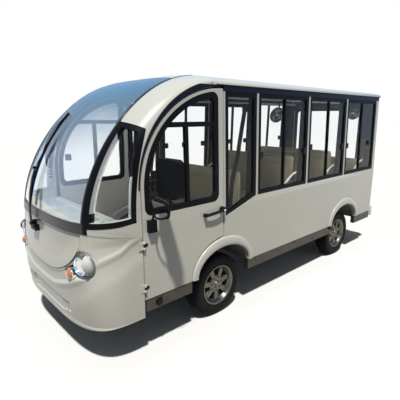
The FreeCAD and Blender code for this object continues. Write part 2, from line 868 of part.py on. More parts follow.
axle_tube = 32.0
spring_pack = 26.0
pin_radius = 12.0
pin_clear = 0.05
eye_height = 110.0
lug_height = 30.0
lug_gap = 1.0
spindle_radius = 18.0
hub_clear = 0.05
rim_disc_in = 32.0
rim_disc_out = 52.0
spoke_count = 7
tyre_seat = 0.3


def front_axle():
    """Front axle beam with a kingpin eye at each end."""
    half = kingpin_x - 10.0
    z = tyre_radius
    shape = rod(V(-half, front_axle_y, z), V(half, front_axle_y, z), axle_tube)
    for side in (-1, 1):
        foot = V(side * kingpin_x, front_axle_y, z - eye_height / 2)
        shape = shape.fuse(rod(foot, foot + V(0, 0, eye_height), 27.0))
    for side in (-1, 1):
        foot = V(side * kingpin_x, front_axle_y, z - 100.0)
        shape = shape.cut(rod(foot, foot + V(0, 0, 200.0), pin_radius + pin_clear))
    return shape


def knuckle():
    """Left steering knuckle: fork round the kingpin eye, kingpin, and wheel spindle."""
    z = tyre_radius
    reach = eye_height / 2 + lug_gap
    pieces = []
    for low in (z + reach, z - reach - lug_height):
        foot = V(kingpin_x, front_axle_y, low)
        pieces.append(rod(foot, foot + V(0, 0, lug_height), 27.0))
        pieces.append(box((kingpin_x, kingpin_x + 50.0), (front_axle_y - 22.0, front_axle_y + 22.0),
                          (low, low + lug_height)))
    web_x = kingpin_x + 34.0
    pieces.append(box((web_x, web_x + 16.0), (front_axle_y - 34.0, front_axle_y + 34.0),
                      (z - reach - lug_height, z + reach + lug_height)))
    foot = V(kingpin_x, front_axle_y, z - reach - lug_height)
    pieces.append(rod(foot, foot + V(0, 0, 2 * (reach + lug_height)), pin_radius))
    spindle_end = wheel_x + rim_disc_out - 4.0
    pieces.append(rod(V(web_x, front_axle_y, z), V(spindle_end, front_axle_y, z), spindle_radius))
    return fused(pieces)


def rear_axle():
    """Driven rear axle: tube, differential with its motor, backing plates and spindles."""
    z, y = tyre_radius, rear_axle_y
    plate_x = kingpin_x + 34.0
    end = wheel_x + rim_disc_out - 4.0
    pieces = [rod(V(-plate_x, y, z), V(plate_x, y, z), axle_tube)]
    pieces.append(rod(V(-end, y, z), V(end, y, z), spindle_radius))
    pieces.append(rod(V(-70.0, y, z), V(90.0, y, z), 105.0))
    pieces.append(rod(V(10.0, y - 380.0, z), V(10.0, y, z), 88.0))
    for side in (-1, 1):
        pieces.append(rod(V(side * plate_x, y, z), V(side * (plate_x + 14.0), y, z), 118.0))
    return fused(pieces)


def rim(axle_y):
    """Left rim: barrel with flanges, dished disc with seven windows, hub bored for the spindle."""
    half = tyre_width / 2 - 5.0
    barrel = rim_radius - 16.0
    r0 = spindle_radius + hub_clear
    barrel_inside = barrel - 9.0
    profile = [(-half, barrel_inside), (-half, rim_radius), (8.0 - half, rim_radius)]
    profile += [(8.0 - half, barrel), (half - 8.0, barrel), (half - 8.0, rim_radius)]
    profile += [(half, rim_radius), (half, barrel_inside), (rim_disc_out, barrel_inside)]
    profile += [(rim_disc_out, r0), (-18.0, r0), (-18.0, 52.0), (rim_disc_in, 52.0)]
    profile += [(rim_disc_in, barrel_inside)]
    points = [V(wheel_x + x, axle_y, tyre_radius + r) for x, r in profile]
    face = Part.Face(Part.makePolygon(points + points[:1]))
    centre = V(wheel_x, axle_y, tyre_radius)
    shape = face.revolve(centre, V(1, 0, 0), 360)
    for k in range(spoke_count):
        wide, narrow = 44.0, 20.0
        hole = [V(wheel_x, axle_y - narrow, tyre_radius + 68.0)]
        hole += [V(wheel_x, axle_y + narrow, tyre_radius + 68.0)]
        hole += [V(wheel_x, axle_y + wide, tyre_radius + 138.0)]
        hole += [V(wheel_x, axle_y - wide, tyre_radius + 138.0)]
        window = prism(hole, V(120.0, 0, 0))
        window.rotate(centre, V(1, 0, 0), 360.0 * k / spoke_count)
        shape = shape.cut(window)
    return shape


def tyre(axle_y):
    """Left tyre: a round-shouldered ring seated on the rim."""
    seat = rim_radius - 16.0 + tyre_seat
    half = tyre_width / 2
    bead = half - 13.3
    flank = (seat + tyre_radius) / 2
    z = tyre_radius

    def at(x, r):
        return V(wheel_x + x, axle_y, z + r)

    tread = half - 22.0
    edges = [line(at(-bead, seat), at(bead, seat))]
    edges.append(line(at(bead, seat), at(bead, rim_radius + 2.0)))
    edges.append(Part.Arc(at(bead, rim_radius + 2.0), at(half, flank + 8.0),
                          at(tread, tyre_radius - 4.0)).toShape())
    edges.append(Part.Arc(at(tread, tyre_radius - 4.0), at(0, tyre_radius),
                          at(-tread, tyre_radius - 4.0)).toShape())
    edges.append(Part.Arc(at(-tread, tyre_radius - 4.0), at(-half, flank + 8.0),
                          at(-bead, rim_radius + 2.0)).toShape())
    edges.append(line(at(-bead, rim_radius + 2.0), at(-bead, seat)))
    face = Part.Face(Part.Wire(edges))
    return face.revolve(at(0, 0), V(1, 0, 0), 360)


# ---------------------------------------------------------------- cabin
post_size = 40.0
post_x = half_width - wall - 33.0
bow_z = 1929.0
bow_height = 35.0
cushion_z = 805.0
cushion_height = 108.0
cushion_depth = 430.0
back_depth = 104.0
bench_half = 600.0
benches = ((-130.0, 1270.0), (720.0, 1345.0), (1530.0, 1345.0), (2300.0, 1190.0))
armrest_radius = 11.0
armrest_curve = ((95.0, 1166.0), (30.0, 1150.0), (-30.0, 1124.0), (-134.0, 1048.0),
                 (-200.0, 960.0), (-225.0, 880.0))
fan_radius = 85.0
fan_places = ((360.0, 1, 1758.0), (450.0, 3, 1777.0))


def post_stations():
    """Stations of the cabin's upright tubes."""
    return [along(end) for end in bay_ends] + [tail - wall - 25.0]


def cabin_hoops():
    """Hoops of square tube from the floor, up each side and across under the roof."""
    half = post_size / 2
    void = wheelhouse_void(rear_axle_y, wheelhouse_wall + seat_gap)
    hoops = []
    for y in post_stations():
        post = box((post_x - post_size, post_x), (y - half, y + half), (floor_z, bow_z)).cut(void)
        bow = box((-post_x, post_x), (y - half, y + half), (bow_z, bow_z + bow_height))
        hoops.append(fused([bow, post, mirrored(post)]))
    return Part.makeCompound(hoops)


def headliner():
    """Ceiling board on the roof bows."""
    z = bow_z + bow_height
    reach = post_x - 32.0
    return box((-reach, reach), (along(-60.0), tail - wall - 5.0), (z, z + 8.0))


def dashboard():
    """Dash shelf following the nose, with a fascia towards the seats."""
    z = (895.0, 925.0)
    band = skin(nose_point, nose_rows, 440.0, outer=cowl_wall + seat_gap)
    level = box((-side_out, side_out), (along(-1400.0), along(door_front) - 20.0), z)
    shelf = band.common(level)
    middle = box((-620.0, 620.0), (along(-1010.0), along(door_front) - 20.0), z)
    fascia = box((-655.0, 655.0), (along(door_front) - 46.0, along(door_front) - 20.0), (600.0, 895.0))
    return fused([shelf, middle, fascia])


wheel_hub = V(360.0, -475.0, 1120.0)
column_slope = V(0, 0.536, 0.844)
steering_radius = 190.0
column_stub = 12.0


def steering_column():
    """Steering column from the floor to just below the wheel."""
    hub = V(wheel_hub.x, along(wheel_hub.y), wheel_hub.z)
    run = (wheel_hub.z - floor_z) / column_slope.z
    shape = rod(hub - column_slope * (run + 10.0), hub - column_slope * 25.0, 22.0)
    shape = shape.fuse(rod(hub - column_slope * 30.0, hub, column_stub))
    low = box((0.0, side_out), (-length, length), (0.0, floor_z))
    return shape.cut(low)


def steering_wheel():
    """Steering wheel: rim, three spokes and hub."""
    hub = V(wheel_hub.x, along(wheel_hub.y), wheel_hub.z)
    ring = Part.makeTorus(steering_radius, 13.0, hub, column_slope)
    pieces = [ring, rod(hub - column_slope * 24.0, hub + column_slope * 14.0, 34.0)]
    level = V(0, column_slope.z, -column_slope.y)
    for turn in (30.0, 150.0, 270.0):
        a = math.radians(turn)
        out = V(1, 0, 0) * math.cos(a) - level * math.sin(a)
        pieces.append(rod(hub, hub + out * steering_radius, 9.0))
    bore = rod(hub - column_slope * 40.0, hub + column_slope * 2.0, column_stub + pin_clear)
    return fused(pieces).cut(bore)


def cushion(x, y, z, r):
    """Padded block with rounded edges."""
    shape = box(x, y, z)
    return shape.makeFillet(r, shape.Edges)


def bench(front, top):
    """Cushion and backrest of a bench with its front at y = front."""
    x = (-bench_half, bench_half)
    back_y = front + cushion_depth + 1.0
    pad = cushion(x, (front, front + cushion_depth), (cushion_z, cushion_z + cushion_height), 25.0)
    back = cushion(x, (back_y, back_y + back_depth), (cushion_z + 20.0, top), 25.0)
    return pad, back


def bench_base(front):
    """Box under a bench, cut round the wheelhouses."""
    x = (-bench_half, bench_half)
    shape = box(x, (front + 40.0, front + 510.0), (floor_z, cushion_z))
    shape = shape.fuse(box(x, (front + 455.0, front + 500.0), (cushion_z, cushion_z + 20.0)))
    for axle_y in (front_axle_y, rear_axle_y):
        void = wheelhouse_void(axle_y, wheelhouse_wall + seat_gap)
        shape = shape.cut(void).cut(mirrored(void))
    return shape.removeSplitter()


def armrest(front):
    """Curved tube beside the left end of a bench."""
    x = bench_half + armrest_radius + 0.5
    points = [V(x, front + cushion_depth + y, z) for y, z in armrest_curve]
    return fused(chain(points, armrest_radius))


def ceiling_fan(x, hoop, z):
    """Round caged fan hung ahead of a roof bow."""
    bow_y = post_stations()[hoop]
    centre = V(x, bow_y - 45.0, z)
    reach = V(0, 30.0, -10.0)
    cage = Part.makeCylinder(fan_radius, 62.0, centre - reach, reach)
    cage = cage.makeFillet(22.0, [e for e in cage.Edges if len(e.Vertexes) == 1])
    motor = rod(centre, centre + reach * 1.8, 34.0)
    hanger = rod(V(x, bow_y - 8.0, z - 12.0), V(x, bow_y - 8.0, bow_z), 12.0)
    return fused([cage, motor, hanger])


def battery():
    """Battery pack slung between the frame rails."""
    half = rail_inner - 5.0
    return box((-half, half), (along(520.0), along(980.0)), (255.0, rail_top_z))


# ---------------------------------------------------------------- nodes
def write_front():
    """Nodes of the nose, cab arch and windscreen."""
    write("front_arch", front_arch())
    write("nose", nose())
    write("bonnet_panel", bonnet_panel())
    write("windscreen", windscreen())
    write("headlamps", Part.makeCompound(lamps(lamp_x, lamp_z, lamp_radius)))
    signals = lamps(signal_x, signal_z, signal_radius) + [both(tail_lamp())]
    write("signal_lamps", Part.makeCompound(signals))
    write("wiper", wiper())


def write_walls():
    """Nodes of the fixed side walls, roof and rear."""
    wall_piece = left_wall()
    write("left_side_panel", wall_piece)
    write("right_side_panels", Part.makeCompound(right_panels(mirrored(wall_piece))))
    write("upper_rails", both(upper_rail()))
    write("roof", roof())
    write("arch_flares", Part.makeCompound([both(ring) for ring in flares()]))
    write("rear_wall", rear_wall())
    write("rear_bumper", rear_bumper())


def write_windows():
    """Nodes of all fixed window frames and their glass, apart from the windscreen."""
    frames, panes = bay_frames()
    sides = frames + [mirrored(frames[0]), mirrored(frames[3])]
    glass = panes + [mirrored(panes[0]), mirrored(panes[3])]
    rubber, pane = quarter_window()
    sides.append(both(rubber))
    glass.append(both(pane))
    rubber, pane = rear_window()
    write("window_frames", Part.makeCompound(sides + [rubber]))
    write("window_glass", Part.makeCompound(glass + [pane]))


def write_doors():
    """Nodes of the four doors and of their hinges."""
    skin_piece, frame, glass = front_door()
    fixed, moving = door_hinges(along(door_front) - door_gap / 2)
    hinges = [both(Part.makeCompound(fixed))]
    trim = Part.makeCompound([frame, door_handle(), mirror()] + moving)
    for name, place in (("driver_door", lambda shape: shape), ("codriver_door", mirrored)):
        write(name, place(skin_piece))
        write(name + "_trim", place(trim))
        write(name + "_glass", place(glass))
    post_edge = centre_post / 2 + door_gap
    spans = {
        "front": (along(bay_ends[0]) + door_gap, along(bay_ends[1]) - post_edge),
        "rear": (along(bay_ends[1]) + post_edge, along(bay_ends[2]) - door_gap),
    }
    for place, (y0, y1) in spans.items():
        skin_piece, frame, panes = passenger_door(y0, y1)
        fixed, moving = door_hinges(y0 - door_gap / 2)
        hinges.append(mirrored(Part.makeCompound(fixed)))
        fittings = Part.makeCompound([frame, passenger_handle(y1)] + moving)
        write(place + "_passenger_door", mirrored(skin_piece))
        write(place + "_passenger_door_trim", mirrored(fittings))
        write(place + "_passenger_door_glass", mirrored(panes))
    write("door_hinges", Part.makeCompound(hinges))


def write_chassis():
    """Nodes of the frame, floor, axles and running gear."""
    write("frame_rails", both(frame_rail()))
    write("cross_members", cross_members())
    write("tow_eyes", tow_eyes())
    write("floor", floor())
    houses = [wheelhouse(front_axle_y), wheelhouse(rear_axle_y)]
    write("wheelhouses", both(Part.makeCompound(houses)))
    springs = [leaf_spring(front_axle_y, 430.0), leaf_spring(rear_axle_y, 480.0)]
    write("leaf_springs", both(Part.makeCompound(springs)))
    write("front_axle", front_axle())
    write("rear_axle", rear_axle())
    write("battery_pack", battery())
    write("sills", sill_strips())
    for side, place in (("left", lambda shape: shape), ("right", mirrored)):
        write(side + "_knuckle", place(knuckle()))
        for end, axle_y in (("front", front_axle_y), ("rear", rear_axle_y)):
            write(end + "_" + side + "_rim", place(rim(axle_y)))
            write(end + "_" + side + "_tyre", place(tyre(axle_y)))


def write_cabin():
    """Nodes of the cabin's tubes, trim and seats."""
    write("cabin_hoops", cabin_hoops())
    write("headliner", headliner())
    write("dashboard", dashboard())
    write("steering_column", steering_column())
    write("steering_wheel", steering_wheel())
    parts = [bench(along(station), top) for station, top in benches]
    write("seat_cushions", Part.makeCompound([pad for pad, back in parts]))
    write("seat_backs", Part.makeCompound([back for pad, back in parts]))
    write("seat_bases", Part.makeCompound([bench_base(along(y)) for y, top in benches]))
    write("armrests", Part.makeCompound([both(armrest(along(y))) for y, top in benches[1:]]))
    write("ceiling_fans", Part.makeCompound([ceiling_fan(*place) for place in fan_places]))


write_front()
write_walls()
write_windows()
write_doors()
write_chassis()
write_cabin()
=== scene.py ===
import json
from math import asin, cos, pi, radians, sin

import bmesh
import bpy
import numpy as np
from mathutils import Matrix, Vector

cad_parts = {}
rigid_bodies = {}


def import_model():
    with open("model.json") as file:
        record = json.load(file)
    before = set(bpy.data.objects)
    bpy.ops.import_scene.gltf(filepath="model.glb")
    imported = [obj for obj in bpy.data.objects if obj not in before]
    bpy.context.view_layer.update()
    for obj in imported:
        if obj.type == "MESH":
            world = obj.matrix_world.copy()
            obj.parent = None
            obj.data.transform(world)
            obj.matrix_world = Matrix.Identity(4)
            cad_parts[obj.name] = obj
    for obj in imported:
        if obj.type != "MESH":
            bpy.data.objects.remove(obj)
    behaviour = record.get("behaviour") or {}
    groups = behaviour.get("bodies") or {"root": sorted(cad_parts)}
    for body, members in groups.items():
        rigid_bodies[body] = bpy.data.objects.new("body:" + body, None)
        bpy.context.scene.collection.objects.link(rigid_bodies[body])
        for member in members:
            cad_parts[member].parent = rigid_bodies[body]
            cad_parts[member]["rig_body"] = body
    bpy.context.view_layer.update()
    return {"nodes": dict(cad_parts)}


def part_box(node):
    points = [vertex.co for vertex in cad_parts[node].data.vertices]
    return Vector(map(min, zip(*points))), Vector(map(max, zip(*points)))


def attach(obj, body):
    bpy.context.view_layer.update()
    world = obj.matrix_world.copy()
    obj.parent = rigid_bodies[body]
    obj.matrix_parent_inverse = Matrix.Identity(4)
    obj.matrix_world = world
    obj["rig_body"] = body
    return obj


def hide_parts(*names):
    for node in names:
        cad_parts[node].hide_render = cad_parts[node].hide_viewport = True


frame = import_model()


# ---- sizes from the frame
def corners(node):
    """Lowest and highest corner of a node, as arrays."""
    low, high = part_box(node)
    return np.array(low), np.array(high)


side_low, side_high = corners("left_side_panel")
tyre_low, tyre_high = corners("front_left_tyre")
rear_tyre_low, rear_tyre_high = corners("rear_left_tyre")
half_width = side_high[0]
roof_height = corners("roof")[1][2]
axle_y = (tyre_low[1] + tyre_high[1]) / 2
rear_axle_y = (rear_tyre_low[1] + rear_tyre_high[1]) / 2
tyre_radius = tyre_high[2] / 2
wheel_x = (tyre_low[0] + tyre_high[0]) / 2
skirt_z = side_low[2]
tail_y = side_high[1]


# ---- mesh tools
def xyz(x, y, z):
    """Points from their coordinates, each spread to the common shape."""
    return np.stack(np.broadcast_arrays(x, y, z), -1)


def column(start, end, count):
    """Even steps as a column."""
    return np.linspace(start, end, count)[:, None]


def row(start, end, count):
    """Even steps as a row."""
    return np.linspace(start, end, count)[None, :]


def lattice(points, wrap_u=False, wrap_v=False):
    """Quads joining neighbours of an n by m lattice of points; wrap closes a direction."""
    n, m = points.shape[:2]
    index = np.arange(n * m).reshape(n, m)
    if wrap_u:
        index = np.vstack([index, index[:1]])
    if wrap_v:
        index = np.hstack([index, index[:, :1]])
    a, b, c, d = index[:-1, :-1], index[1:, :-1], index[1:, 1:], index[:-1, 1:]
    return points.reshape(-1, 3), np.stack([a, b, c, d], -1).reshape(-1, 4).tolist()


def joined(parts):
    """Several (points, faces) pairs as one."""
    points, faces, start = [], [], 0
    for some, their_faces in parts:
        points.append(np.asarray(some, float))
        faces += [[k + start for k in face] for face in their_faces]
        start += len(some)
    return np.vstack(points), faces


def mirrored(part):
    """The part on the other side of the bus: x changes sign and the faces turn over."""
    points, faces = part
    return np.asarray(points) * (-1, 1, 1), [face[::-1] for face in faces]


def both(part):
    """The part and its mirror image."""
    return joined([part, mirrored(part)])


def unit(v):
    """Vectors of length one along the last axis."""
    v = np.asarray(v, float)
    return v / np.maximum(np.linalg.norm(v, axis=-1, keepdims=True), 1e-9)


def sweep(path, profile, side=(0, 0, 1), closed=False):
    """Profile carried along a path.

    At each path point the profile's first number is laid along side x tangent and its
    second along tangent x (side x tangent), which is side made square to the tangent.
    """
    path, profile = np.asarray(path, float), np.asarray(profile, float)
    if closed:
        tangent = np.roll(path, -1, 0) - np.roll(path, 1, 0)
    else:
        tangent = np.gradient(path, axis=0)
    tangent = unit(tangent)
    across = unit(np.cross(np.broadcast_to(side, tangent.shape), tangent))
    up = np.cross(tangent, across)
    rings = path[:, None] + (across[:, None] * profile[None, :, :1] + up[:, None] * profile[None, :, 1:])
    points, faces = lattice(rings, wrap_u=closed, wrap_v=True)
    if not closed:
        faces += lids(len(profile), len(points))[::-1]
    return points, faces


def lids(count, total):
    """Faces closing the last and the first ring of a tube whose rings have count points."""
    return [list(range(total - count, total)), list(range(count))[::-1]]


def angles(count):
    """Even steps round a circle."""
    return np.linspace(0, 2 * pi, count, endpoint=False)


def powered(value, power):
    """Value raised to a power, with its sign kept."""
    return np.sign(value) * abs(value) ** power


def ring_profile(radius, count=12):
    """Round profile."""
    a = angles(count)
    return np.stack([np.cos(a), np.sin(a)], 1) * radius


def flat_profile(width, height, corner=0.3, count=16):
    """Rounded rectangle: a superellipse of exponent 2 / corner."""
    a = angles(count) + pi / count
    return np.stack([powered(np.cos(a), corner) * width / 2, powered(np.sin(a), corner) * height / 2], 1)


def smooth_path(points, count=24):
    """Curve through the points: a Catmull-Rom spline worked out for all stretches at once."""
    p = np.asarray(points, float)
    p = np.vstack([2 * p[0] - p[1], p, 2 * p[-1] - p[-2]])
    t = np.linspace(0, len(points) - 1, count)
    k = np.minimum(t.astype(int), len(points) - 2)
    u = (t - k)[:, None]
    a, b, c, d = p[k], p[k + 1], p[k + 2], p[k + 3]
    return 0.5 * (2 * b + (c - a) * u + (2 * a - 5 * b + 4 * c - d) * u ** 2
                  + (3 * b - a - 3 * c + d) * u ** 3)


def block(low, high):
    """Box from its lowest and highest corner."""
    x, y, z = [[low[k], high[k]] for k in range(3)]
    points = [(x[i], y[j], z[k]) for i in (0, 1) for j in (0, 1) for k in (0, 1)]
    faces = [[0, 1, 3, 2], [4, 6, 7, 5], [0, 4, 5, 1], [2, 3, 7, 6], [0, 2, 6, 4], [1, 5, 7, 3]]
    return np.array(points, float), faces


def walled(outer, inner):
    """Closed sheet between two like grids, with walls round the rims."""
    n, m = outer.shape[:2]
    start = n * m
    grid = lattice(outer)[1]
    faces = [face[::-1] for face in grid] + [[k + start for k in face] for face in grid]
    index = np.arange(start).reshape(n, m)
    edge = np.concatenate([index[0], index[1:, -1], index[-1, -2::-1], index[-2:0:-1, 0]])
    after = np.roll(edge, -1)
    faces += np.stack([edge, after, after + start, edge + start], 1).tolist()
    return np.vstack([outer.reshape(-1, 3), inner.reshape(-1, 3)]), faces


def lathe(profile, centre, axis, count=40):
    """Profile of (distance along the axis, radius) pairs turned about any axis."""
    axis = unit(axis)
    side = unit(np.cross(axis, (0, 0, 1) if abs(axis[2]) < 0.9 else (1, 0, 0)))
    up = np.cross(side, axis)
    profile = np.asarray(profile, float)
    a = angles(count)[None, :, None]
    points = centre + profile[:, :1, None] * axis + profile[:, 1:, None] * (np.cos(a) * side + np.sin(a) * up)
    return lattice(points, wrap_v=True)


def given(thing, **values):
    """The thing, with these of its properties set."""
    for name, value in values.items():
        setattr(thing, name, value)
    return thing


def merged(mesh, distance, then=None):
    """Joins a mesh's near points in place, then does one more step on it."""
    work = bmesh.new()
    work.from_mesh(mesh)
    bmesh.ops.remove_doubles(work, verts=work.verts, dist=distance)
    if then:
        then(work)
    work.to_mesh(mesh)
    work.free()


def piece(name, part, look, replaces="", body="chassis", angle=35.0, bevel=0.0):
    """Mesh object from points and faces, on its body, with its look."""
    points, faces = part
    mesh = bpy.data.meshes.new(name)
    mesh.from_pydata(np.asarray(points, float).tolist(), [], faces)
    merged(mesh, 2e-6, lambda work: bmesh.ops.recalc_face_normals(work, faces=work.faces))
    return dressed(name, mesh, look, replaces, body, angle, bevel)


def placed(name, data):
    """New object for a mesh, lamp or camera, in the scene."""
    made = bpy.data.objects.new(name, data)
    bpy.context.scene.collection.objects.link(made)
    return made


def dressed(name, mesh, look, replaces, body, angle, bevel):
    """Object for a mesh: smooth but for sharp edges, with an optional bevel."""
    mesh.shade_smooth()
    mesh.set_sharp_from_angle(angle=radians(angle))
    made = placed(name, mesh)
    mesh.materials.append(look)
    if bevel:
        given(made.modifiers.new("edges", "BEVEL"), width=bevel, segments=2, limit_method="ANGLE",
              angle_limit=radians(40), harden_normals=True)
    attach(made, body)
    if replaces:
        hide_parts(replaces)
    return made


def smoothed(node, look):
    """Merged copy of a CAD node, with soft shading, that stands for it."""
    mesh = frame["nodes"][node].data.copy()
    merged(mesh, 1e-5, lambda work: bmesh.ops.dissolve_degenerate(work, dist=1e-5, edges=work.edges))
    mesh.materials.clear()
    dressed(node + "_skin", mesh, look, node, frame["nodes"][node]["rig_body"], 30.0, 0.0)


# ---- materials
def new_group(name, inputs, outputs):
    """Empty shader node group; each socket is a colour or a number by its first value."""
    tree = bpy.data.node_groups.new(name, "ShaderNodeTree")
    for side, sockets in (("INPUT", inputs), ("OUTPUT", outputs)):
        for label, value in sockets.items():
            kind = "NodeSocketColor" if isinstance(value, tuple) else "NodeSocketFloat"
            tree.interface.new_socket(label, in_out=side, socket_type=kind).default_value = value
    return tree, tree.nodes.new("NodeGroupInput").outputs, tree.nodes.new("NodeGroupOutput").inputs


def plug(tree, socket, value):
    """Links an output to an input socket, or sets a plain value on it."""
    if hasattr(value, "is_output"):
        tree.links.new(value, socket)
    else:
        socket.default_value = value


def add(tree, kind, inputs=None, **properties):
    """Shader node with its properties set and its inputs linked or set."""
    node = given(tree.nodes.new(kind), **properties)
    for key, value in (inputs or {}).items():
        plug(tree, node.inputs[key], value)
    return node


def mix_colour(tree, factor, first, second):
    """Mix of two colours."""
    return add(tree, "ShaderNodeMix", {0: factor, 6: first, 7: second}, data_type="RGBA").outputs[2]


def maths(tree, operation, first, second, clamp=False):
    """Math node on sockets or plain numbers."""
    return add(tree, "ShaderNodeMath", {0: first, 1: second}, operation=operation, use_clamp=clamp).outputs[0]


def noise(tree, vector, scale, detail):
    """Noise texture's value on the given coordinates."""
    inputs = {"Detail": detail, "Vector": vector, "Scale": scale}
    return add(tree, "ShaderNodeTexNoise", inputs).outputs["Fac"]


def ramp(tree, value, low, high):
    """Value from 0 at low to 1 at high, held beyond them."""
    inputs = {"Value": value, "From Min": low, "From Max": high}
    return add(tree, "ShaderNodeMapRange", inputs).outputs["Result"]


def place(tree):
    """Object coordinates, and their height."""
    here = add(tree, "ShaderNodeTexCoord").outputs["Object"]
    return here, add(tree, "ShaderNodeSeparateXYZ", {0: here}).outputs["Z"]


def wear_group():
    """Colour varied by soft noise and mixed, in patches that fade out upwards, towards a second colour; also
    a roughness.
    """
    tree, inner, outer = new_group("wear", {
        "Colour": (0.8, 0.8, 0.8, 1), "Patch Colour": (0.35, 0.32, 0.27, 1), "Mottle": 0.06, "Scale": 6.0,
        "Patch Amount": 0.3, "Patch Top": 0.7, "Roughness": 0.4, "Spread": 0.1},
        {"Colour": (0.8, 0.8, 0.8, 1), "Roughness": 0.4})
    here, height = place(tree)
    cloud = noise(tree, here, inner["Scale"], 4.0)
    fine = noise(tree, here, 90.0, 2.0)
    shade = maths(tree, "MULTIPLY", ramp(tree, cloud, 0.35, 0.7), inner["Mottle"])
    dark = mix_colour(tree, shade, inner["Colour"], (0.0, 0.0, 0.0, 1))
    low = maths(tree, "SUBTRACT", 1.0, ramp(tree, height, 0.2, inner["Patch Top"]))
    patch = ramp(tree, maths(tree, "ADD", cloud, maths(tree, "MULTIPLY", fine, 0.35)), 0.45, 0.95)
    amount = maths(tree, "MULTIPLY", maths(tree, "MULTIPLY", low, patch), inner["Patch Amount"])
    amount = maths(tree, "MINIMUM", amount, 1.0, True)
    plug(tree, outer["Colour"], mix_colour(tree, amount, dark, inner["Patch Colour"]))
    rough = maths(tree, "MULTIPLY", maths(tree, "SUBTRACT", fine, 0.5), inner["Spread"])
    rough = maths(tree, "ADD", rough, inner["Roughness"])
    rough = maths(tree, "ADD", rough, maths(tree, "MULTIPLY", amount, 0.4), True)
    plug(tree, outer["Roughness"], rough)
    return tree


def grain_group():
    """Height of a leathery or moulded grain: cells softened by noise."""
    tree, inner, outer = new_group("grain", {"Scale": 300.0, "Waviness": 0.4}, {"Height": 0.0})
    here = place(tree)[0]
    cells = add(tree, "ShaderNodeTexVoronoi", {"Vector": here, "Scale": inner["Scale"]}, feature="SMOOTH_F1")
    wave = noise(tree, here, maths(tree, "MULTIPLY", inner["Scale"], 0.2), 3.0)
    wave = maths(tree, "MULTIPLY", wave, inner["Waviness"])
    plug(tree, outer["Height"], maths(tree, "ADD", cells.outputs["Distance"], wave))
    return tree


wear = wear_group()
grain_height = grain_group()


def blank_look(name, values):
    """New material with these shader inputs, its node tree and the inputs."""
    material = bpy.data.materials.new(name)
    material.use_nodes = True
    tree = material.node_tree
    inputs = tree.nodes["Principled BSDF"].inputs
    for label, value in values.items():
        inputs[label].default_value = value
    return material, tree, inputs


def finish(name, colour, roughness, metallic=0.0, coat=0.0, mottle=0.06, scale=6.0, patch_amount=0.0,
           patch_top=0.7, spread=0.08, grain=(0, 0), peel=0.0, specular=0.5):
    """Material with mottled colour and low patches of a second colour; grain is its scale and depth, peel a
    soft ripple.
    """
    material, tree, inputs = blank_look(name, {
        "Metallic": metallic, "Coat Weight": coat, "Coat Roughness": 0.06, "Specular IOR Level": specular})
    look = add(tree, "ShaderNodeGroup", {
        "Colour": (*colour, 1), "Mottle": mottle, "Scale": scale, "Patch Amount": patch_amount,
        "Patch Top": patch_top, "Roughness": roughness, "Spread": spread}, node_tree=wear)
    plug(tree, inputs["Base Color"], look.outputs["Colour"])
    plug(tree, inputs["Roughness"], look.outputs["Roughness"])
    if peel:
        bumps, depth, strength = noise(tree, place(tree)[0], 45.0, 2.0), peel, 0.25
    elif grain[1]:
        texture = add(tree, "ShaderNodeGroup", {"Scale": grain[0]}, node_tree=grain_height)
        bumps, depth, strength = texture.outputs["Height"], grain[1], 0.6
    else:
        return material
    bump = add(tree, "ShaderNodeBump", {"Distance": depth, "Strength": strength, "Height": bumps})
    plug(tree, inputs["Normal"], bump.outputs["Normal"])
    return material


def glass_finish(name, tint, coat=0.08, coat_ior=1.5):
    """Thin safety glass: clear with a faint tint; a coat of higher index mirrors the sky."""
    material, tree, inputs = blank_look(name, {
        "Transmission Weight": 1.0, "IOR": 1.12, "Roughness": 0.02, "Specular IOR Level": 0.25,
        "Coat Weight": coat, "Coat IOR": coat_ior, "Coat Roughness": 0.02})
    haze = ramp(tree, noise(tree, place(tree)[0], 3.0, 2.0), 0.3, 0.8)
    plug(tree, inputs["Base Color"], mix_colour(tree, haze, (*tint, 1), (*[0.985 * c for c in tint], 1)))
    shadow = add(tree, "ShaderNodeLightPath").outputs["Is Shadow Ray"]
    plug(tree, inputs["Alpha"], maths(tree, "SUBTRACT", 1.0, maths(tree, "MULTIPLY", shadow, 0.45)))
    return material


def film_finish(name, colour, low, high, most):
    """Thin tinted film that grows denser with height; on the windscreen its sky blue is partly the tint band
    and partly a painted reflection of the sky.
    """
    material, tree, inputs = blank_look(name, {"Roughness": 0.12, "Specular IOR Level": 0.3})
    here, height = place(tree)
    cloud = noise(tree, here, 2.2, 2.0)
    level = ramp(tree, maths(tree, "ADD", height, maths(tree, "MULTIPLY", cloud, 0.12)), low, high)
    plug(tree, inputs["Base Color"],
         mix_colour(tree, level, (*[0.5 + 0.6 * c for c in colour], 1), (*colour, 1)))
    plug(tree, inputs["Alpha"], maths(tree, "MULTIPLY", maths(tree, "POWER", level, 1.6), most))
    return material


# The white paint grows darker in brownish patches towards the bottom.
paint = finish("white_gelcoat", (0.765, 0.75, 0.665), 0.32, coat=0.45, mottle=0.03, scale=1.5, patch_amount=0.42,
               patch_top=0.8, peel=0.0006)
lid_paint = finish("lamp_lid", (0.72, 0.72, 0.68), 0.55, mottle=0.12, scale=30.0)
inner_paint = finish("inner_gelcoat", (0.56, 0.58, 0.58), 0.5, mottle=0.08, scale=4.0)
rubber = finish("black_rubber", (0.007, 0.007, 0.008), 0.5, mottle=0.2, patch_amount=0.05,
                grain=(500.0, 0.0004), specular=0.08)
plastic = finish("black_plastic", (0.007, 0.007, 0.008), 0.38, mottle=0.15, grain=(700.0, 0.0003),
                 specular=0.14)
rail_paint = finish("dark_blue_paint", (0.006, 0.008, 0.018), 0.4, coat=0.05, mottle=0.15, specular=0.12)
post_paint = finish("post_paint", (0.014, 0.016, 0.022), 0.5, mottle=0.15, specular=0.15)
trim_dark = finish("cabin_trim", (0.045, 0.043, 0.036), 0.7, mottle=0.25, scale=5.0, grain=(500.0, 0.0004),
                   specular=0.15)
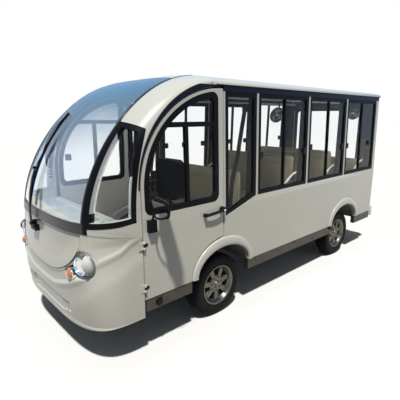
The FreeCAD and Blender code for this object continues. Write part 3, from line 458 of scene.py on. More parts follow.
chassis_paint = finish("chassis_black", (0.02, 0.02, 0.02), 0.6, mottle=0.3, patch_amount=0.7, patch_top=0.9,
                       scale=12.0)
sill_metal = finish("sill_metal", (0.065, 0.055, 0.045), 0.42, metallic=0.7, mottle=0.3,
                    scale=9.0, patch_amount=0.2)
flooring = finish("grey_flooring", (0.16, 0.16, 0.155), 0.6, mottle=0.2, scale=14.0, grain=(220.0, 0.0006))
alloy = finish("alloy_silver", (0.125, 0.115, 0.09), 0.26, metallic=0.9, mottle=0.3, scale=20.0, patch_amount=0.3,
               patch_top=0.8, spread=0.12)
tyre_rubber = finish("tyre_rubber", (0.009, 0.009, 0.009), 0.72, mottle=0.2, scale=15.0, patch_amount=0.04,
                     patch_top=0.8, grain=(400.0, 0.0004), specular=0.12)
vinyl = finish("beige_vinyl", (0.25, 0.225, 0.155), 0.5, mottle=0.1, grain=(420.0, 0.0005))
piping_vinyl = finish("piping_vinyl", (0.36, 0.33, 0.24), 0.45, mottle=0.1,
                      grain=(420.0, 0.0003))
webbing = finish("belt_webbing", (0.016, 0.016, 0.018), 0.8, mottle=0.2,
                 grain=(900.0, 0.0006), specular=0.2)
seat_metal = finish("seat_frame_grey", (0.2, 0.2, 0.2), 0.5, mottle=0.1)
felt = finish("headliner_grey", (0.065, 0.065, 0.068), 0.9, mottle=0.15, grain=(800.0, 0.0006))
chrome = finish("chrome", (0.85, 0.85, 0.86), 0.08, metallic=1.0, mottle=0.03)
battery_case = finish("battery_grey", (0.09, 0.09, 0.1), 0.6, mottle=0.2, patch_amount=0.5)
black_gloss = finish("black_gloss", (0.006, 0.006, 0.008), 0.45, mottle=0.15, specular=0.08)
strip_brown = finish("strip_brown", (0.036, 0.03, 0.025), 0.3, coat=0.1, mottle=0.6,
                     scale=22.0)
tray_paint = finish("tray_grey", (0.5, 0.55, 0.52), 0.55, mottle=0.1, scale=5.0,
                    grain=(500.0, 0.0003))
arm_paint = finish("arm_white", (0.74, 0.74, 0.7), 0.35, mottle=0.08, scale=12.0)
shadow_grey = finish("lamp_surround", (0.3, 0.31, 0.32), 0.35, mottle=0.15)
# Near-black for the pressed-in floors between the spokes: painted shade that stands for the wheel's dark
# openings.
spoke_window_shade = finish("spoke_window_painted_shade", (0.03, 0.028, 0.026), 0.7, mottle=0.3, patch_amount=0.3)
amber_lens = finish("amber_lens", (0.85, 0.26, 0.02), 0.12, coat=1.0, mottle=0.15, scale=60.0)
red_lens = finish("red_lens", (0.5, 0.012, 0.01), 0.12, coat=1.0, mottle=0.2, scale=60.0)
white_lens = finish("white_lens", (0.75, 0.76, 0.76), 0.12, coat=1.0, mottle=0.1, scale=60.0)
screen_glass = glass_finish("screen_glass", (0.95, 0.97, 0.985), coat=1.0, coat_ior=2.1)
# Sky-blue film on the windscreen, denser upwards: partly its tint band, partly a painted reflection of the
# sky.
tint_and_sky_reflection_film = film_finish("tint_and_sky_reflection_film", (0.11, 0.27, 0.44), 1.5, 1.98, 0.8)
side_glass = glass_finish("side_glass", (0.96, 0.975, 0.98))
lamp_glass = glass_finish("lamp_clear", (0.96, 0.96, 0.95))

for look, slot, nodes in (
        (paint, "", "front_arch roof left_side_panel right_side_panels rear_wall driver_door codriver_door "
                    "front_passenger_door rear_passenger_door rear_bumper"),
        (tray_paint, "white_gelcoat", "dashboard"), (rail_paint, "", "upper_rails"),
        (post_paint, "", "cabin_hoops"), (screen_glass, "", "windscreen"), (side_glass, "", "window_glass"),
        (chassis_paint, "", "frame_rails cross_members tow_eyes"), (flooring, "", "floor"),
        (chassis_paint, "", "wheelhouses leaf_springs front_axle rear_axle"),
        (battery_case, "", "battery_pack"), (sill_metal, "", "sills"), (paint, "", "door_hinges"),
        (chassis_paint, "", "left_knuckle right_knuckle"), (felt, "", "headliner"),
        (plastic, "", "steering_column steering_wheel"), (arm_paint, "", "armrests"),
        (seat_metal, "", "seat_bases"),
        (side_glass, "", "driver_door_glass codriver_door_glass front_passenger_door_glass "
                         "rear_passenger_door_glass")):
    for node in nodes.split():
        smoothed(node, look)


def second_look(mesh, look, chosen):
    """Gives a second material to the faces chosen by their normals and middles."""
    mesh.materials.append(look)
    normal, middle = (np.array([getattr(p, kind) for p in mesh.polygons]) for kind in ("normal", "center"))
    mesh.polygons.foreach_set("material_index", chosen(normal, middle).astype(np.int32))


def inner_side(normal, middle):
    """Faces of a side wall that look into the cabin."""
    return normal[:, 0] * np.sign(middle[:, 0]) < -0.5


for node in ("left_side_panel", "right_side_panels", "front_passenger_door", "rear_passenger_door"):
    second_look(bpy.data.objects[node + "_skin"].data, trim_dark, inner_side)
second_look(bpy.data.objects["rear_wall_skin"].data, trim_dark, lambda normal, middle: normal[:, 1] < -0.5)


def mesh_points(mesh):
    """Vertex places of a mesh, as an array."""
    points = np.empty(len(mesh.vertices) * 3)
    mesh.vertices.foreach_get("co", points)
    return points.reshape(-1, 3)


def lots(node):
    """A CAD node's joined lots, as (points, faces) pairs, from a merged copy of its mesh.

    Each vertex takes the lowest number among its neighbours until nothing changes.
    """
    mesh = frame["nodes"][node].data.copy()
    merged(mesh, 1e-5)
    points = mesh_points(mesh)
    edges = np.empty(len(mesh.edges) * 2, np.int64)
    mesh.edges.foreach_get("vertices", edges)
    a, b = edges.reshape(-1, 2).T
    corners_of = np.array([p.vertices[:] for p in mesh.polygons])
    bpy.data.meshes.remove(mesh)
    label, before = np.arange(len(points)), None
    while before is None or (label != before).any():
        before = label.copy()
        lowest = np.minimum(label[a], label[b])
        np.minimum.at(label, a, lowest)
        np.minimum.at(label, b, lowest)
        label = label[label]
    made = []
    for k in np.unique(label):
        kept = np.flatnonzero(label == k)
        number = np.full(len(points), -1)
        number[kept] = np.arange(len(kept))
        made.append((points[kept], number[corners_of[label[corners_of[:, 0]] == k]].tolist()))
    return made


# ---- body surface
roof_edge = corners("upper_rails")[1][2]
waist = 1.0
wall_lean = 0.031
screen_curve = np.array([(-1.253, waist), (-1.179, 1.515), (-0.668, roof_height), (-0.139, roof_height)])
corner_foot = 0.466
panel_half = 0.545
panel_drop = 0.338


def side_x(z):
    """Half width at a height: upright to the waist, then leaning in by wall_lean up to the roof."""
    return half_width - wall_lean * np.maximum((z - waist) / (roof_height - waist), 0.0)


def rounding(t, power):
    """Drop of a superellipse, 0 in the middle and 1 at the ends: 1 - (1 - |t|^n)^(1/n)."""
    return 1.0 - np.maximum(1.0 - abs(t) ** power, 0.0) ** (1.0 / power)


def screen(s, t, inset=0.0):
    """Bubble front at s from foot to roof and share t of the half width, moved in by inset.

    A cubic curve in the middle of the bus is pulled in towards the sides, square to
    itself, by a superellipse of exponent 3.
    """
    s, t, inset = np.broadcast_arrays(np.asarray(s, float), t, inset)
    r = 1.0 - s
    weights = np.stack([r ** 3, 3 * r * r * s, 3 * r * s * s, s ** 3], -1)
    middle = weights @ screen_curve
    slope = np.stack([r * r, 2 * r * s, s * s], -1) @ np.diff(screen_curve, axis=0)
    slope = unit(slope)
    corner = corner_foot + (roof_height - roof_edge - corner_foot) * s ** 0.6
    depth = inset + (corner - inset) * rounding(t, 3.0)
    y = middle[..., 0] + slope[..., 1] * depth
    z = middle[..., 1] - slope[..., 0] * depth
    return xyz(t * (side_x(z) - inset), axle_y + y, z)


def lip_height(t):
    """Height of the nose's lower lip, rising by 36 mm towards the sides."""
    return 0.294 + 0.036 * t ** 4


def nose(r, t, inset=0.0):
    """Nose at r from lip to windscreen foot and share t of the half width, moved in by inset.

    The front line bulges as a parabola; sections are superellipses of exponent 4 - r.
    """
    r, t, inset = np.broadcast_arrays(np.asarray(r, float), t, inset)
    top = screen(0.0, t, inset)
    front = -1.222 - 0.031 * r - 4 * 0.0333 * r * (1 - r)
    corner = corner_foot - 0.036 * (1 - r)
    drop = inset + (corner - inset) * rounding(t, 4.0 - r)
    low = lip_height(t)
    z = low + (top[..., 2] - low) * r
    y = axle_y + front + drop
    y = y + (top[..., 1] - y) * r ** 4
    return xyz(t * (side_x(z) - inset), y, z)


def nose_share(t, z):
    """The nose's r at a share t of the half width and a height."""
    low = lip_height(t)
    return (z - low) / (screen(0.0, t)[..., 2] - low)


def on_nose(t, z):
    """Point of the nose at a share t of the half width and a height."""
    return nose(nose_share(t, z), t)


def step(value, low, high):
    """Smooth step: 0 up to low, 1 from high on, 3u^2 - 2u^3 between."""
    u = np.clip((value - low) / (high - low), 0.0, 1.0)
    return u * u * (3 - 2 * u)


lamp_at = np.array([0.562, 0.776])
signal_at = np.array([0.455, 0.706])


def lamp_hollow(x, z):
    """Distance outside the teardrop round headlamp and indicator, less than 0 within it.

    The teardrop is a capsule whose radius runs from 102 mm at the lamp to 46 mm.
    """
    run = signal_at - (0.02, 0.0) - lamp_at
    along = ((abs(x) - lamp_at[0]) * run[0] + (z - lamp_at[1]) * run[1]) / (run @ run)
    along = np.clip(along, 0.0, 1.0)
    gap = np.hypot(abs(x) - lamp_at[0] - along * run[0], z - lamp_at[1] - along * run[1])
    return gap - (0.102 - 0.056 * along)


def panel_gap(x, z):
    """Distance outside the service panel's outline, a half superellipse of exponent 2.5."""
    down = np.maximum(waist - z, 0.0)
    size = ((abs(x) / panel_half) ** 2.5 + (down / panel_drop) ** 2.5) ** 0.4
    return (size - 1.0) * np.hypot(x, down) / np.maximum(size, 0.05)


def relief(place):
    """How far the nose's face is pressed in at its points.

    Above a crease that climbs from the middle to the sides the face steps in and fades
    back; below it leans under; a rolled lip follows the service panel; a shallow band and
    three slots lie above the bottom lip.
    """
    x, z = place[..., 0], place[..., 2]
    across = abs(x)
    q = across + place[..., 1] - axle_y + 1.253
    crease = np.interp(q, (0, 0.2, 0.4, 0.61, 0.803, 0.993, 1.078, 1.17),
                       (0.545, 0.555, 0.61, 0.685, 0.81, 0.865, 0.92, 0.95))
    over = z - crease
    middle = 1 - step(across, 0.35, 0.62)
    fade = (1 - (0.9 - 0.4 * middle) * step(over, 0.06, 0.22)) * (1 - step(z, 0.9, 0.97))
    pressed = step(over, 0.0, 0.03) * (0.007 + 0.01 * middle) * fade
    pressed = pressed + 0.007 * step(-over, 0.0, 0.05) * (1 - step(-over, 0.08, 0.2))
    gap = panel_gap(x, z)
    pressed = pressed - 0.006 * np.exp(-((gap - 0.009) / 0.006) ** 2)
    pressed = pressed + 0.003 * (1 - step(gap, 0.0, 0.004))
    pressed = pressed + 0.026 * (1 - step(lamp_hollow(x, z), -0.024, 0.002))
    band = step(z, 0.352, 0.366) * (1 - step(z, 0.455, 0.48)) * (1 - step(across, 0.27, 0.33))
    slots = sum(1 - step(abs(across - at), 0.007, 0.013) for at in (0.3, 0.345, 0.385))
    slots = slots * step(z, 0.378, 0.39) * (1 - step(z, 0.455, 0.468))
    lip = 1 - step(z, 0.318, 0.334)
    return np.clip(pressed + 0.012 * band + 0.022 * np.clip(slots, 0, 1) - 0.006 * lip, -0.01, 0.05)


section = 1.75


def turn_at_door(rows, inset):
    """The turn of each section at which the nose meets the door, by bisection."""
    end = corners("nose")[1][1]
    low, high = np.full(rows.shape, 1.2), np.full(rows.shape, pi / 2)
    for _ in range(24):
        guess = (low + high) / 2
        inside = nose(rows, np.sin(guess) ** (1 / section), inset)[..., 1] < end
        low, high = np.where(inside, guess, low), np.where(inside, high, guess)
    return low


def panel_outline(theta, gap):
    """Service panel's outline at a turn, drawn in by a gap: a half superellipse of power 2.5."""
    x = (panel_half - gap) * powered(np.sin(theta), 0.8)
    return x, waist - (panel_drop - gap) * np.maximum(np.cos(theta), 0.0) ** 0.8


def nose_shell():
    """White nose below and beside the service panel, with its crease and lamp hollows."""
    rows = column(0, 1, 134)
    inner, edge_z = panel_outline(row(0, pi / 2, 80), 0.0)
    beyond = np.linspace(0, 1, 56)[None, 1:]

    def skin(inset, dented):
        """One face of the shell, both halves."""
        turn = asin((panel_half / half_width) ** section)
        a = np.hstack([np.arcsin((inner / half_width) ** section) + 0 * rows,
                       turn + (turn_at_door(rows, inset) - turn) * beyond])
        t = np.sin(a) ** (1 / section)
        top = np.minimum(nose_share(inner / half_width, edge_z), 1.0)
        r = rows * np.hstack([top, np.ones(beyond.shape)])
        half = nose(r, t, inset + (relief(nose(r, t)) if dented else 0.0))
        return np.hstack([half[:, :0:-1] * (-1, 1, 1), half])

    return walled(skin(0.0, True), skin(0.038, False))


def panel_shell():
    """Service panel, set in a little behind a narrow gap round its outline, dished within."""
    x, edge_z = panel_outline(row(-pi / 2, pi / 2, 150), 0.004)
    t = x / half_width
    low = np.minimum(nose_share(t, edge_z), 0.985)
    r = low + (0.998 - low) * column(0, 1, 70)
    flat = nose(r, t)
    away = -panel_gap(x + 0 * r, flat[..., 2])
    depth = 0.007 + 0.008 * step(away, 0.0, 0.12) * (1 - step(r, 0.8, 1.0))
    return walled(nose(r, t, depth), nose(r, t, 0.034))


piece("nose_shell", nose_shell(), paint, "nose", angle=50)
piece("service_panel", panel_shell(), paint, "bonnet_panel", angle=50)
backing = np.meshgrid(np.linspace(0.45, 0.99, 30), np.linspace(-0.76, 0.76, 60), indexing="ij")
piece("panel_gap_backing", walled(nose(*backing, 0.0365), nose(*backing, 0.0385)), rubber)


def sphere_cap(centre, radius, pole, angle, thick, rings=20, around=40):
    """Closed cap of a ball shell: rings of growing angle from the pole, outside and inside."""
    pole = unit(pole)
    side = unit(np.cross(pole, (0, 0, 1)))
    up = np.cross(side, pole)
    a = np.linspace(0, angle, rings)
    a = np.concatenate([a, a[::-1]])[:, None, None]
    size = np.concatenate([np.full(rings, radius), np.full(rings, radius - thick)])[:, None, None]
    b = angles(around)[None, :, None]
    points = centre + size * (np.cos(a) * pole + np.sin(a) * (np.cos(b) * side + np.sin(b) * up))
    return lattice(points, wrap_v=True)


def lamp_cluster():
    """Both headlamps: bowl, reflector, lens and white lid, and the amber indicators."""
    seat = on_nose(lamp_at[0] / half_width, lamp_at[1])
    ahead = unit((0.18, -1.0, 0.02))
    ball = seat + (0.01, 0.044, 0.006)
    lid = sphere_cap(ball, 0.084, (0.95, 0.08, 0.34), 0.92, 0.004)
    face = ball + (-0.012, -0.028, -0.004)
    bowl = lathe([(-0.035, 0), (-0.035, 0.05), (0.012, 0.062), (0.024, 0.064), (0.028, 0.06),
                  (0.022, 0.056), (0, 0.05), (-0.018, 0.03), (-0.024, 0)], face, ahead)
    lens = lathe([(0.022, 0), (0.02, 0.03), (0.012, 0.0555), (0.015, 0.0555), (0.026, 0.032),
                  (0.03, 0)], face, ahead)
    bulb = lathe([(-0.022, 0), (-0.02, 0.012), (0, 0.013), (0.008, 0.008), (0.01, 0)], face, ahead)
    rim = lathe([(0, 0.079), (0.012, 0.0815), (0.016, 0.086), (0.01, 0.09), (-0.004, 0.088)],
                ball + (0.0, -0.012, 0.0), (0.3, -1.0, 0.02), count=64)
    rim = lattice(rim[0].reshape(5, 64, 3), wrap_u=True, wrap_v=True)
    socket_at = on_nose(signal_at[0] / half_width, signal_at[1]) + (0.012, 0.018, 0.0)
    socket = lathe([(-0.02, 0), (-0.02, 0.04), (0.01, 0.042), (0.013, 0.039), (0.008, 0.036),
                    (-0.008, 0)], socket_at, (0.05, -1.0, 0.0))
    amber = lathe([(-0.01, 0), (-0.01, 0.036), (0.01, 0.0355), (0.024, 0.028), (0.033, 0.014),
                   (0.036, 0)], socket_at, (0.05, -1.0, 0.0))
    piece("headlamp_lids", both(lid), lid_paint)
    piece("headlamp_bowls", both(bowl), chrome)
    piece("headlamp_lenses", both(lens), lamp_glass, "headlamps")
    piece("headlamp_bulbs", both(bulb), arm_paint)
    piece("headlamp_rims", both(rim), shadow_grey)
    piece("indicator_sockets", both(socket), chrome)
    piece("indicator_lenses", both(amber), amber_lens, "signal_lamps")


lamp_cluster()


# ---- windscreen surround
screen_low = 1.058


def edge_x(z, beyond=0.0):
    """The windscreen's leaning side edge, moved outwards by a distance."""
    return 0.556 - 0.056 * (z - 1.022) + beyond


def screen_share(s, x):
    """Share of the half width at which the bubble front has a given x, by repetition."""
    t = x / half_width
    for _ in range(6):
        t = x / side_x(screen(s, t)[..., 2])
    return t


def screen_row(x, axis, value):
    """s at which the bubble front meets a value on an axis, for each x, by bisection."""
    low, high = np.zeros(x.shape), np.ones(x.shape)
    for _ in range(30):
        middle = (low + high) / 2
        under = screen(middle, screen_share(middle, x))[..., axis] < value
        low, high = np.where(under, middle, low), np.where(under, high, middle)
    return low


def screen_normal(s, t):
    """Outward normal of the bubble front, from small steps along and across it."""
    ahead = screen(np.minimum(s + 1e-4, 1.0), t) - screen(np.maximum(s - 1e-4, 0.0), t)
    sideways = screen(s, t + 1e-4) - screen(s, t - 1e-4)
    return unit(np.cross(sideways, ahead))


def screen_ribbon(s, x, low, high):
    """Closed strip lying on the bubble front between two heights over it."""
    t = screen_share(s, x)
    return walled(screen(s, t, -high), screen(s, t, -low))


def side_band():
    """Black band over the narrow pillar beside the windscreen, thinning above the quarter."""
    s = column(0.005, 0.985, 110)
    w = row(0, 1, 8)
    z = screen(s, 0.7)[..., 2]
    inner = edge_x(z, 0.012)
    outer = edge_x(z, 0.018 + 0.026 * (1 - step(z, 1.62, 1.76)))
    return screen_ribbon(s + 0 * w, inner + (outer - inner) * w, 0.0004, 0.0032)


def screen_seal():
    """Rounded rubber seal round the windscreen: up both sides, over the top, along the foot."""
    top_y = axle_y - 0.36
    across = np.linspace(-1, 1, 60)
    top_x = across * edge_x(2.02, 0.005)
    top_s = screen_row(top_x, 1, top_y)
    foot_x = across * edge_x(screen_low, 0.005)
    foot_s = screen_row(foot_x, 2, screen_low)
    side_s = np.linspace(foot_s[-1], top_s[-1], 90)[1:-1]
    side_z = screen(side_s, screen_share(side_s, 0.53 + 0 * side_s))[..., 2]
    side_line = edge_x(side_z, 0.005)
    s = np.concatenate([foot_s, side_s, top_s[::-1], side_s[::-1]])
    x = np.concatenate([foot_x, side_line, top_x[::-1], -side_line[::-1]])
    t = screen_share(s, x)
    return sweep(screen(s, t, 0.001), flat_profile(0.014, 0.006, 0.6), screen_normal(s, t), closed=True)


def foot_strip():
    """Dark strip between the service panel and the windscreen's foot."""
    x = row(-1, 1, 90) * 0.574 + 0 * column(0, 1, 9)
    s = np.stack([screen_row(x[0], 2, z) for z in np.linspace(0.994, 1.06, 9)])
    return screen_ribbon(s, x, 0.0003, 0.0032)


def screen_film():
    """Tint film inside the windscreen's outline, from waist height to its rear edge, carrying a painted
    reflection of the sky as well as the tint.
    """
    w = row(-1, 1, 50)
    top = screen_row(w[0] * edge_x(2.02, -0.006), 1, axle_y - 0.368)
    s = column(0.16, 1.0, 60) * top[None, :]
    z = screen(s, 0.5)[..., 2]
    return screen_ribbon(s, w * edge_x(z, -0.006), 0.0012, 0.0018)


piece("windscreen_tint_and_sky_reflection", screen_film(), tint_and_sky_reflection_film)
piece("windscreen_side_bands", both(side_band()), black_gloss)
piece("windscreen_seal", screen_seal(), strip_brown)
piece("windscreen_foot_strip", foot_strip(), strip_brown)


def wiper_parts():
    """Wiper: a block with two spindles on the service panel, two arms, a knuckle and a blade."""
    base = on_nose(-0.105, 0.925)
    mount = [block(base + (-0.052, -0.022, -0.028), base + (0.048, 0.012, 0.02))]
    for dx, dz, r in ((-0.034, 0.018, 0.017), (0.026, 0.004, 0.014), (-0.006, 0.04, 0.012)):
        mount.append(lathe([(-0.03, 0), (-0.03, r), (0.022, r), (0.028, r * 0.8), (0.03, 0)],
                           base + (dx, -0.004, dz), (0.0, -1.0, 0.1), 20))
    knee = screen(0.22, -0.3, -0.03)
    arms = []
    for shift, start in ((-0.01, (-0.034, -0.024, 0.018)), (0.012, (-0.006, -0.024, 0.04))):
        points = [base + start, screen(0.02, -0.14 + shift, -0.03), screen(0.11, -0.21 + shift, -0.034),
                  knee + (shift * 0.6, 0.0, 0.0)]
        arms.append(sweep(smooth_path(points, 30), flat_profile(0.011, 0.007), (0, -1, 0.2)))
    s = np.linspace(0.045, 0.53, 46)
    lean = (0, -1, 0.3)
    blade = sweep(screen(s, -0.22 - 0.3 * s, -0.019), flat_profile(0.012, 0.008), lean)
    edge = sweep(screen(s, -0.22 - 0.3 * s, -0.01), flat_profile(0.005, 0.012), lean)
    joint = lathe([(-0.014, 0), (-0.014, 0.012), (0.016, 0.012), (0.018, 0)], knee, (0, -1.0, 0.25), 20)
    bridge = []
    for a, b in ((0.09, 0.28), (0.3, 0.5)):
        u = np.linspace(0, 1, 16)
        k = a + (b - a) * u
        rise = np.outer(np.sin(pi * u) * 0.014, (0, -1, 0.2))
        bridge.append(sweep(screen(k, -0.22 - 0.3 * k, -0.02) + rise, flat_profile(0.009, 0.005), lean))
    return joined(mount + arms + [blade, edge, joint] + bridge)


piece("wiper_assembly", wiper_parts(), plastic, "wiper", bevel=0.001)


# ---- wheels
spokes = 7


def round_axle(side, x, r, a):
    """Points at a distance r and turn a round the front wheel's axle on a side, x outwards."""
    return xyz(side * (wheel_x + x), axle_y + r * np.sin(a), tyre_radius + r * np.cos(a))


def wheel(side):
    """Wheel with seven broad spokes, turned round its axle.

    A closed profile from the cap over the lip and back behind the disc; between the
    spokes the face is pressed in, and those faces are later painted near-black as
    painted shade in place of open windows. side is 1 on the left and -1 on the right.
    """
    profile = [(0.071, 0.0), (0.071, 0.012), (0.069, 0.019), (0.066, 0.021), (0.068, 0.024),
               (0.066, 0.029), (0.058, 0.032), (0.054, 0.036), (0.053, 0.042)]
    profile += [(0.053 - 0.002 * k / 5, 0.046 + 0.008 * k) for k in range(6)]
    profile += [(0.0505, 0.089), (0.05, 0.092), (0.0498, 0.0945), (0.0495, 0.097)]
    profile += [(0.049, 0.1 + 0.006 * k) for k in range(8)]
    profile += [(0.048, 0.1445), (0.047, 0.147), (0.044, 0.1495), (0.044, 0.152), (0.055, 0.156),
                (0.066, 0.161), (0.073, 0.166), (0.0772, 0.17), (0.0775, 0.176), (0.0765, 0.1805),
                (0.072, 0.181), (0.0698, 0.178), (0.0695, 0.1652), (-0.0695, 0.1652),
                (-0.07, 0.181), (-0.0775, 0.181), (-0.0775, 0.158), (-0.07, 0.1555),
                (-0.01, 0.1555), (-0.012, 0.06), (-0.018, 0.052), (-0.018, 0.0186), (0.049, 0.0186),
                (0.049, 0.0)]
    profile = np.array(profile)
    a = angles(spokes * 30)[None, :]
    x, r = profile[:, :1] + 0 * a, profile[:, 1:] + 0 * a
    front = np.arange(len(profile))[:, None] < int(np.argmax(profile[:, 1] > 0.1605))
    turn = abs((a * spokes / (2 * pi) + 0.5) % 1.0 - 0.5) * (2 * pi / spokes)
    width = 0.205 + 0.075 * (r - 0.085) / 0.06
    window = step(width - turn, 0.0, 0.028) * step(r, 0.076, 0.085) * (1 - step(r, 0.1455, 0.15))
    window = window * front
    spoke = 0.004 * np.cos(np.clip((0.449 - turn) / 0.19, -1, 1) * pi / 2) * step(r, 0.09, 0.1) * front
    x = x - 0.046 * window + spoke * (1 - window)
    return lattice(round_axle(side, x, r, a), wrap_v=True)


def nuts(side):
    """Bevelled six-sided wheel nuts in a ring, one for each spoke."""
    a = 2 * pi * (np.arange(spokes) + 0.5) / spokes
    places = round_axle(side, 0.05, 0.062, a)
    return joined([lathe([(0, 0), (0, 0.0085), (0.008, 0.0085), (0.0105, 0.006), (0.011, 0)],
                         at, (side, 0, 0), 6) for at in places])


def tyre_skin(side):
    """Tyre: round-shouldered section turned round the axle, with grooves and shoulder cuts."""
    curve = [(0.0692, 0.1655), (0.0698, 0.1835), (0.0722, 0.188), (0.0768, 0.203), (0.0812, 0.218),
             (0.0825, 0.231), (0.0808, 0.246), (0.0765, 0.259), (0.0715, 0.268), (0.066, 0.2735),
             (0.055, 0.2765), (0.03, 0.279), (0.0, 0.28)]
    half = smooth_path([(0.0, r, x) for x, r in curve], 36)[:, [2, 1]]
    profile = np.vstack([half, half[-2::-1] * (-1, 1)])
    a = angles(216)[None, :]
    x, r = profile[:, :1] + 0 * a, profile[:, 1:] + 0 * a
    tread = step(r, 0.272, 0.276)
    groove = sum(1 - step(abs(abs(x) - at), 0.0018, 0.0042) for at in (0.0, 0.026, 0.047))
    cuts = (np.sin(a * 64 + abs(x) * 160) > 0.55) * step(abs(x), 0.03, 0.033) * step(r, 0.262, 0.268)
    rings = np.exp(-((r - 0.1925) / 0.0016) ** 2) + np.exp(-((r - 0.247) / 0.0014) ** 2)
    flank = 1 - step(r, 0.25, 0.262)
    r = r - 0.006 * np.clip(groove, 0, 1) * tread - 0.004 * cuts
    x = x * (1 + 0.01 * rings * flank)
    return lattice(round_axle(side, x, r, a), wrap_u=True, wrap_v=True)


def wheel_pieces(name, side, move):
    """Rim, nuts and tyre of one wheel, moved along the bus from the front axle."""
    body = name + "_wheel"
    points, faces = wheel(side)
    made = piece(body, (points + move, faces), alloy, name + "_rim", body, angle=40)

    def sunk(_, middle):
        """Faces between the spokes, behind the rim's face: they take the painted shade."""
        middle = middle - move - (0, axle_y, tyre_radius)
        out, r = abs(middle[:, 0]) - wheel_x, np.hypot(middle[:, 1], middle[:, 2])
        return (out < 0.036) & (out > -0.0095) & (r > 0.077) & (r < 0.154)

    # The pressed-in faces between the spokes are painted near-black: painted shade for the wheel's openings.
    second_look(made.data, spoke_window_shade, sunk)
    points, faces = nuts(side)
    piece(body + "_nuts", (points + move, faces), alloy, body=body)
    points, faces = tyre_skin(side)
    piece(name + "_tyre_skin", (points + move, faces), tyre_rubber, name + "_tyre", body, angle=28)


for end, move in (("front", 0.0), ("rear", rear_axle_y - axle_y)):
    for side_name, side in (("left", 1), ("right", -1)):
        wheel_pieces(end + "_" + side_name, side, np.array((0, move, 0)))


def flare(centre_y):
    """Left wheel arch lip: a rolled section carried along half an ellipse over the wheel."""
    profile = np.array([(0.0, -0.045), (0.0, -0.006), (0.02, 0.003), (0.07, 0.009), (0.16, 0.0125),
                        (0.3, 0.0135), (0.5, 0.0125), (0.7, 0.0105), (0.84, 0.008), (0.93, 0.0045),
                        (0.985, -0.001), (0.995, -0.045)])
    a = column(0, pi, 90)
    w, out = profile[:, 0][None, :], profile[:, 1][None, :]
    y = centre_y - (0.312 + 0.062 * w) * np.cos(a)
    z = skirt_z + (0.203 + 0.088 * w) * np.sin(a)
    flat, faces = lattice(xyz(half_width + out, y, z), wrap_v=True)
    m = len(profile)
    return flat, faces + [list(range(m)), list(range(len(flat) - m, len(flat)))[::-1]]


piece("wheel_arch_lips", both(joined([flare(axle_y), flare(rear_axle_y)])), paint, "arch_flares",
      angle=50)


# ---- window frames and the nose seam
def window_frames():
    """Frames from the CAD solids; on the quarter windows only the outer face is black."""
    parts = lots("window_frames")
    quarters = [part for part in parts if part[0][:, 1].min() < axle_y - 0.6]
    rest = [part for part in parts if part[0][:, 1].min() >= axle_y - 0.6]
    piece("side_window_frames", joined(rest), rubber, "window_frames")
    made = piece("quarter_window_frames", joined(quarters), rubber, "window_frames")

    def inward(normal, middle):
        """Faces ahead of the door that don't look outwards, along the bubble or sideways."""
        s = screen_row(middle[:, 0], 2, middle[:, 2])
        out = screen_normal(s, screen_share(s, middle[:, 0]))
        out = np.where(abs(middle[:, :1]) > 0.712, np.sign(middle[:, :1]) * (1.0, 0.0, 0.0), out)
        return ((normal * out).sum(1) < 0.5) & (middle[:, 1] < axle_y - 0.88)

    second_look(made.data, inner_paint, inward)


def seam_cover():
    """Thin fairing that fills the shallow valley above the joint of nose and cab arch."""
    t = row(0.75, 0.985, 60)
    w = column(0, 1, 21) + 0 * t
    joint = 0.3
    lower = np.clip(w / joint, 0, 1)
    upper = np.clip((w - joint) / (1 - joint), 0, 1)
    rise = 0.0006 * lower - 0.0003 - 0.0021 * upper ** 1.5
    below = (w < joint)[..., None]
    r, s = 0.985 + 0.015 * lower, 0.026 * upper
    outer = np.where(below, nose(r, t, -rise), screen(s, t, -rise))
    inner = np.where(below, nose(r, t, 0.006), screen(s, t, 0.006))
    return walled(outer, inner)


window_frames()
piece("nose_seam_covers", both(seam_cover()), paint)


# ---- doors
def size_of(part):
    """Extent of a part along the three axes."""
    return np.ptp(part[0], axis=0)


def ball_block(centre, half, power=0.35, lean=0.0, count=48):
    """Rounded block: a superellipsoid, its width shrinking downwards by the share lean."""
    u = column(-pi / 2, pi / 2, count // 2 + 1)
    v = angles(count)[None, :]
    z, ring = powered(np.sin(u), power), powered(np.cos(u), power)
    narrow = 1 - lean * (1 - z) / 2
    points = xyz(ring * powered(np.cos(v), power) * narrow * half[0],
                 ring * powered(np.sin(v), power) * half[1], z * half[2])
    return lattice(points + centre, wrap_v=True)


def circle(centre, radius, normal, count=40):
    """Points of a circle round a normal."""
    normal = unit(normal)
    first = unit(np.cross(normal, (0, 1, 0) if abs(normal[1]) < 0.9 else (1, 0, 0)))
    second = np.cross(normal, first)
    a = angles(count)[:, None]
    return centre + radius * (np.cos(a) * first + np.sin(a) * second)


mirror_y = axle_y - 0.76
mirror_x = corners("driver_door_trim")[1][0] - 0.1075
mirror_z = 1.368


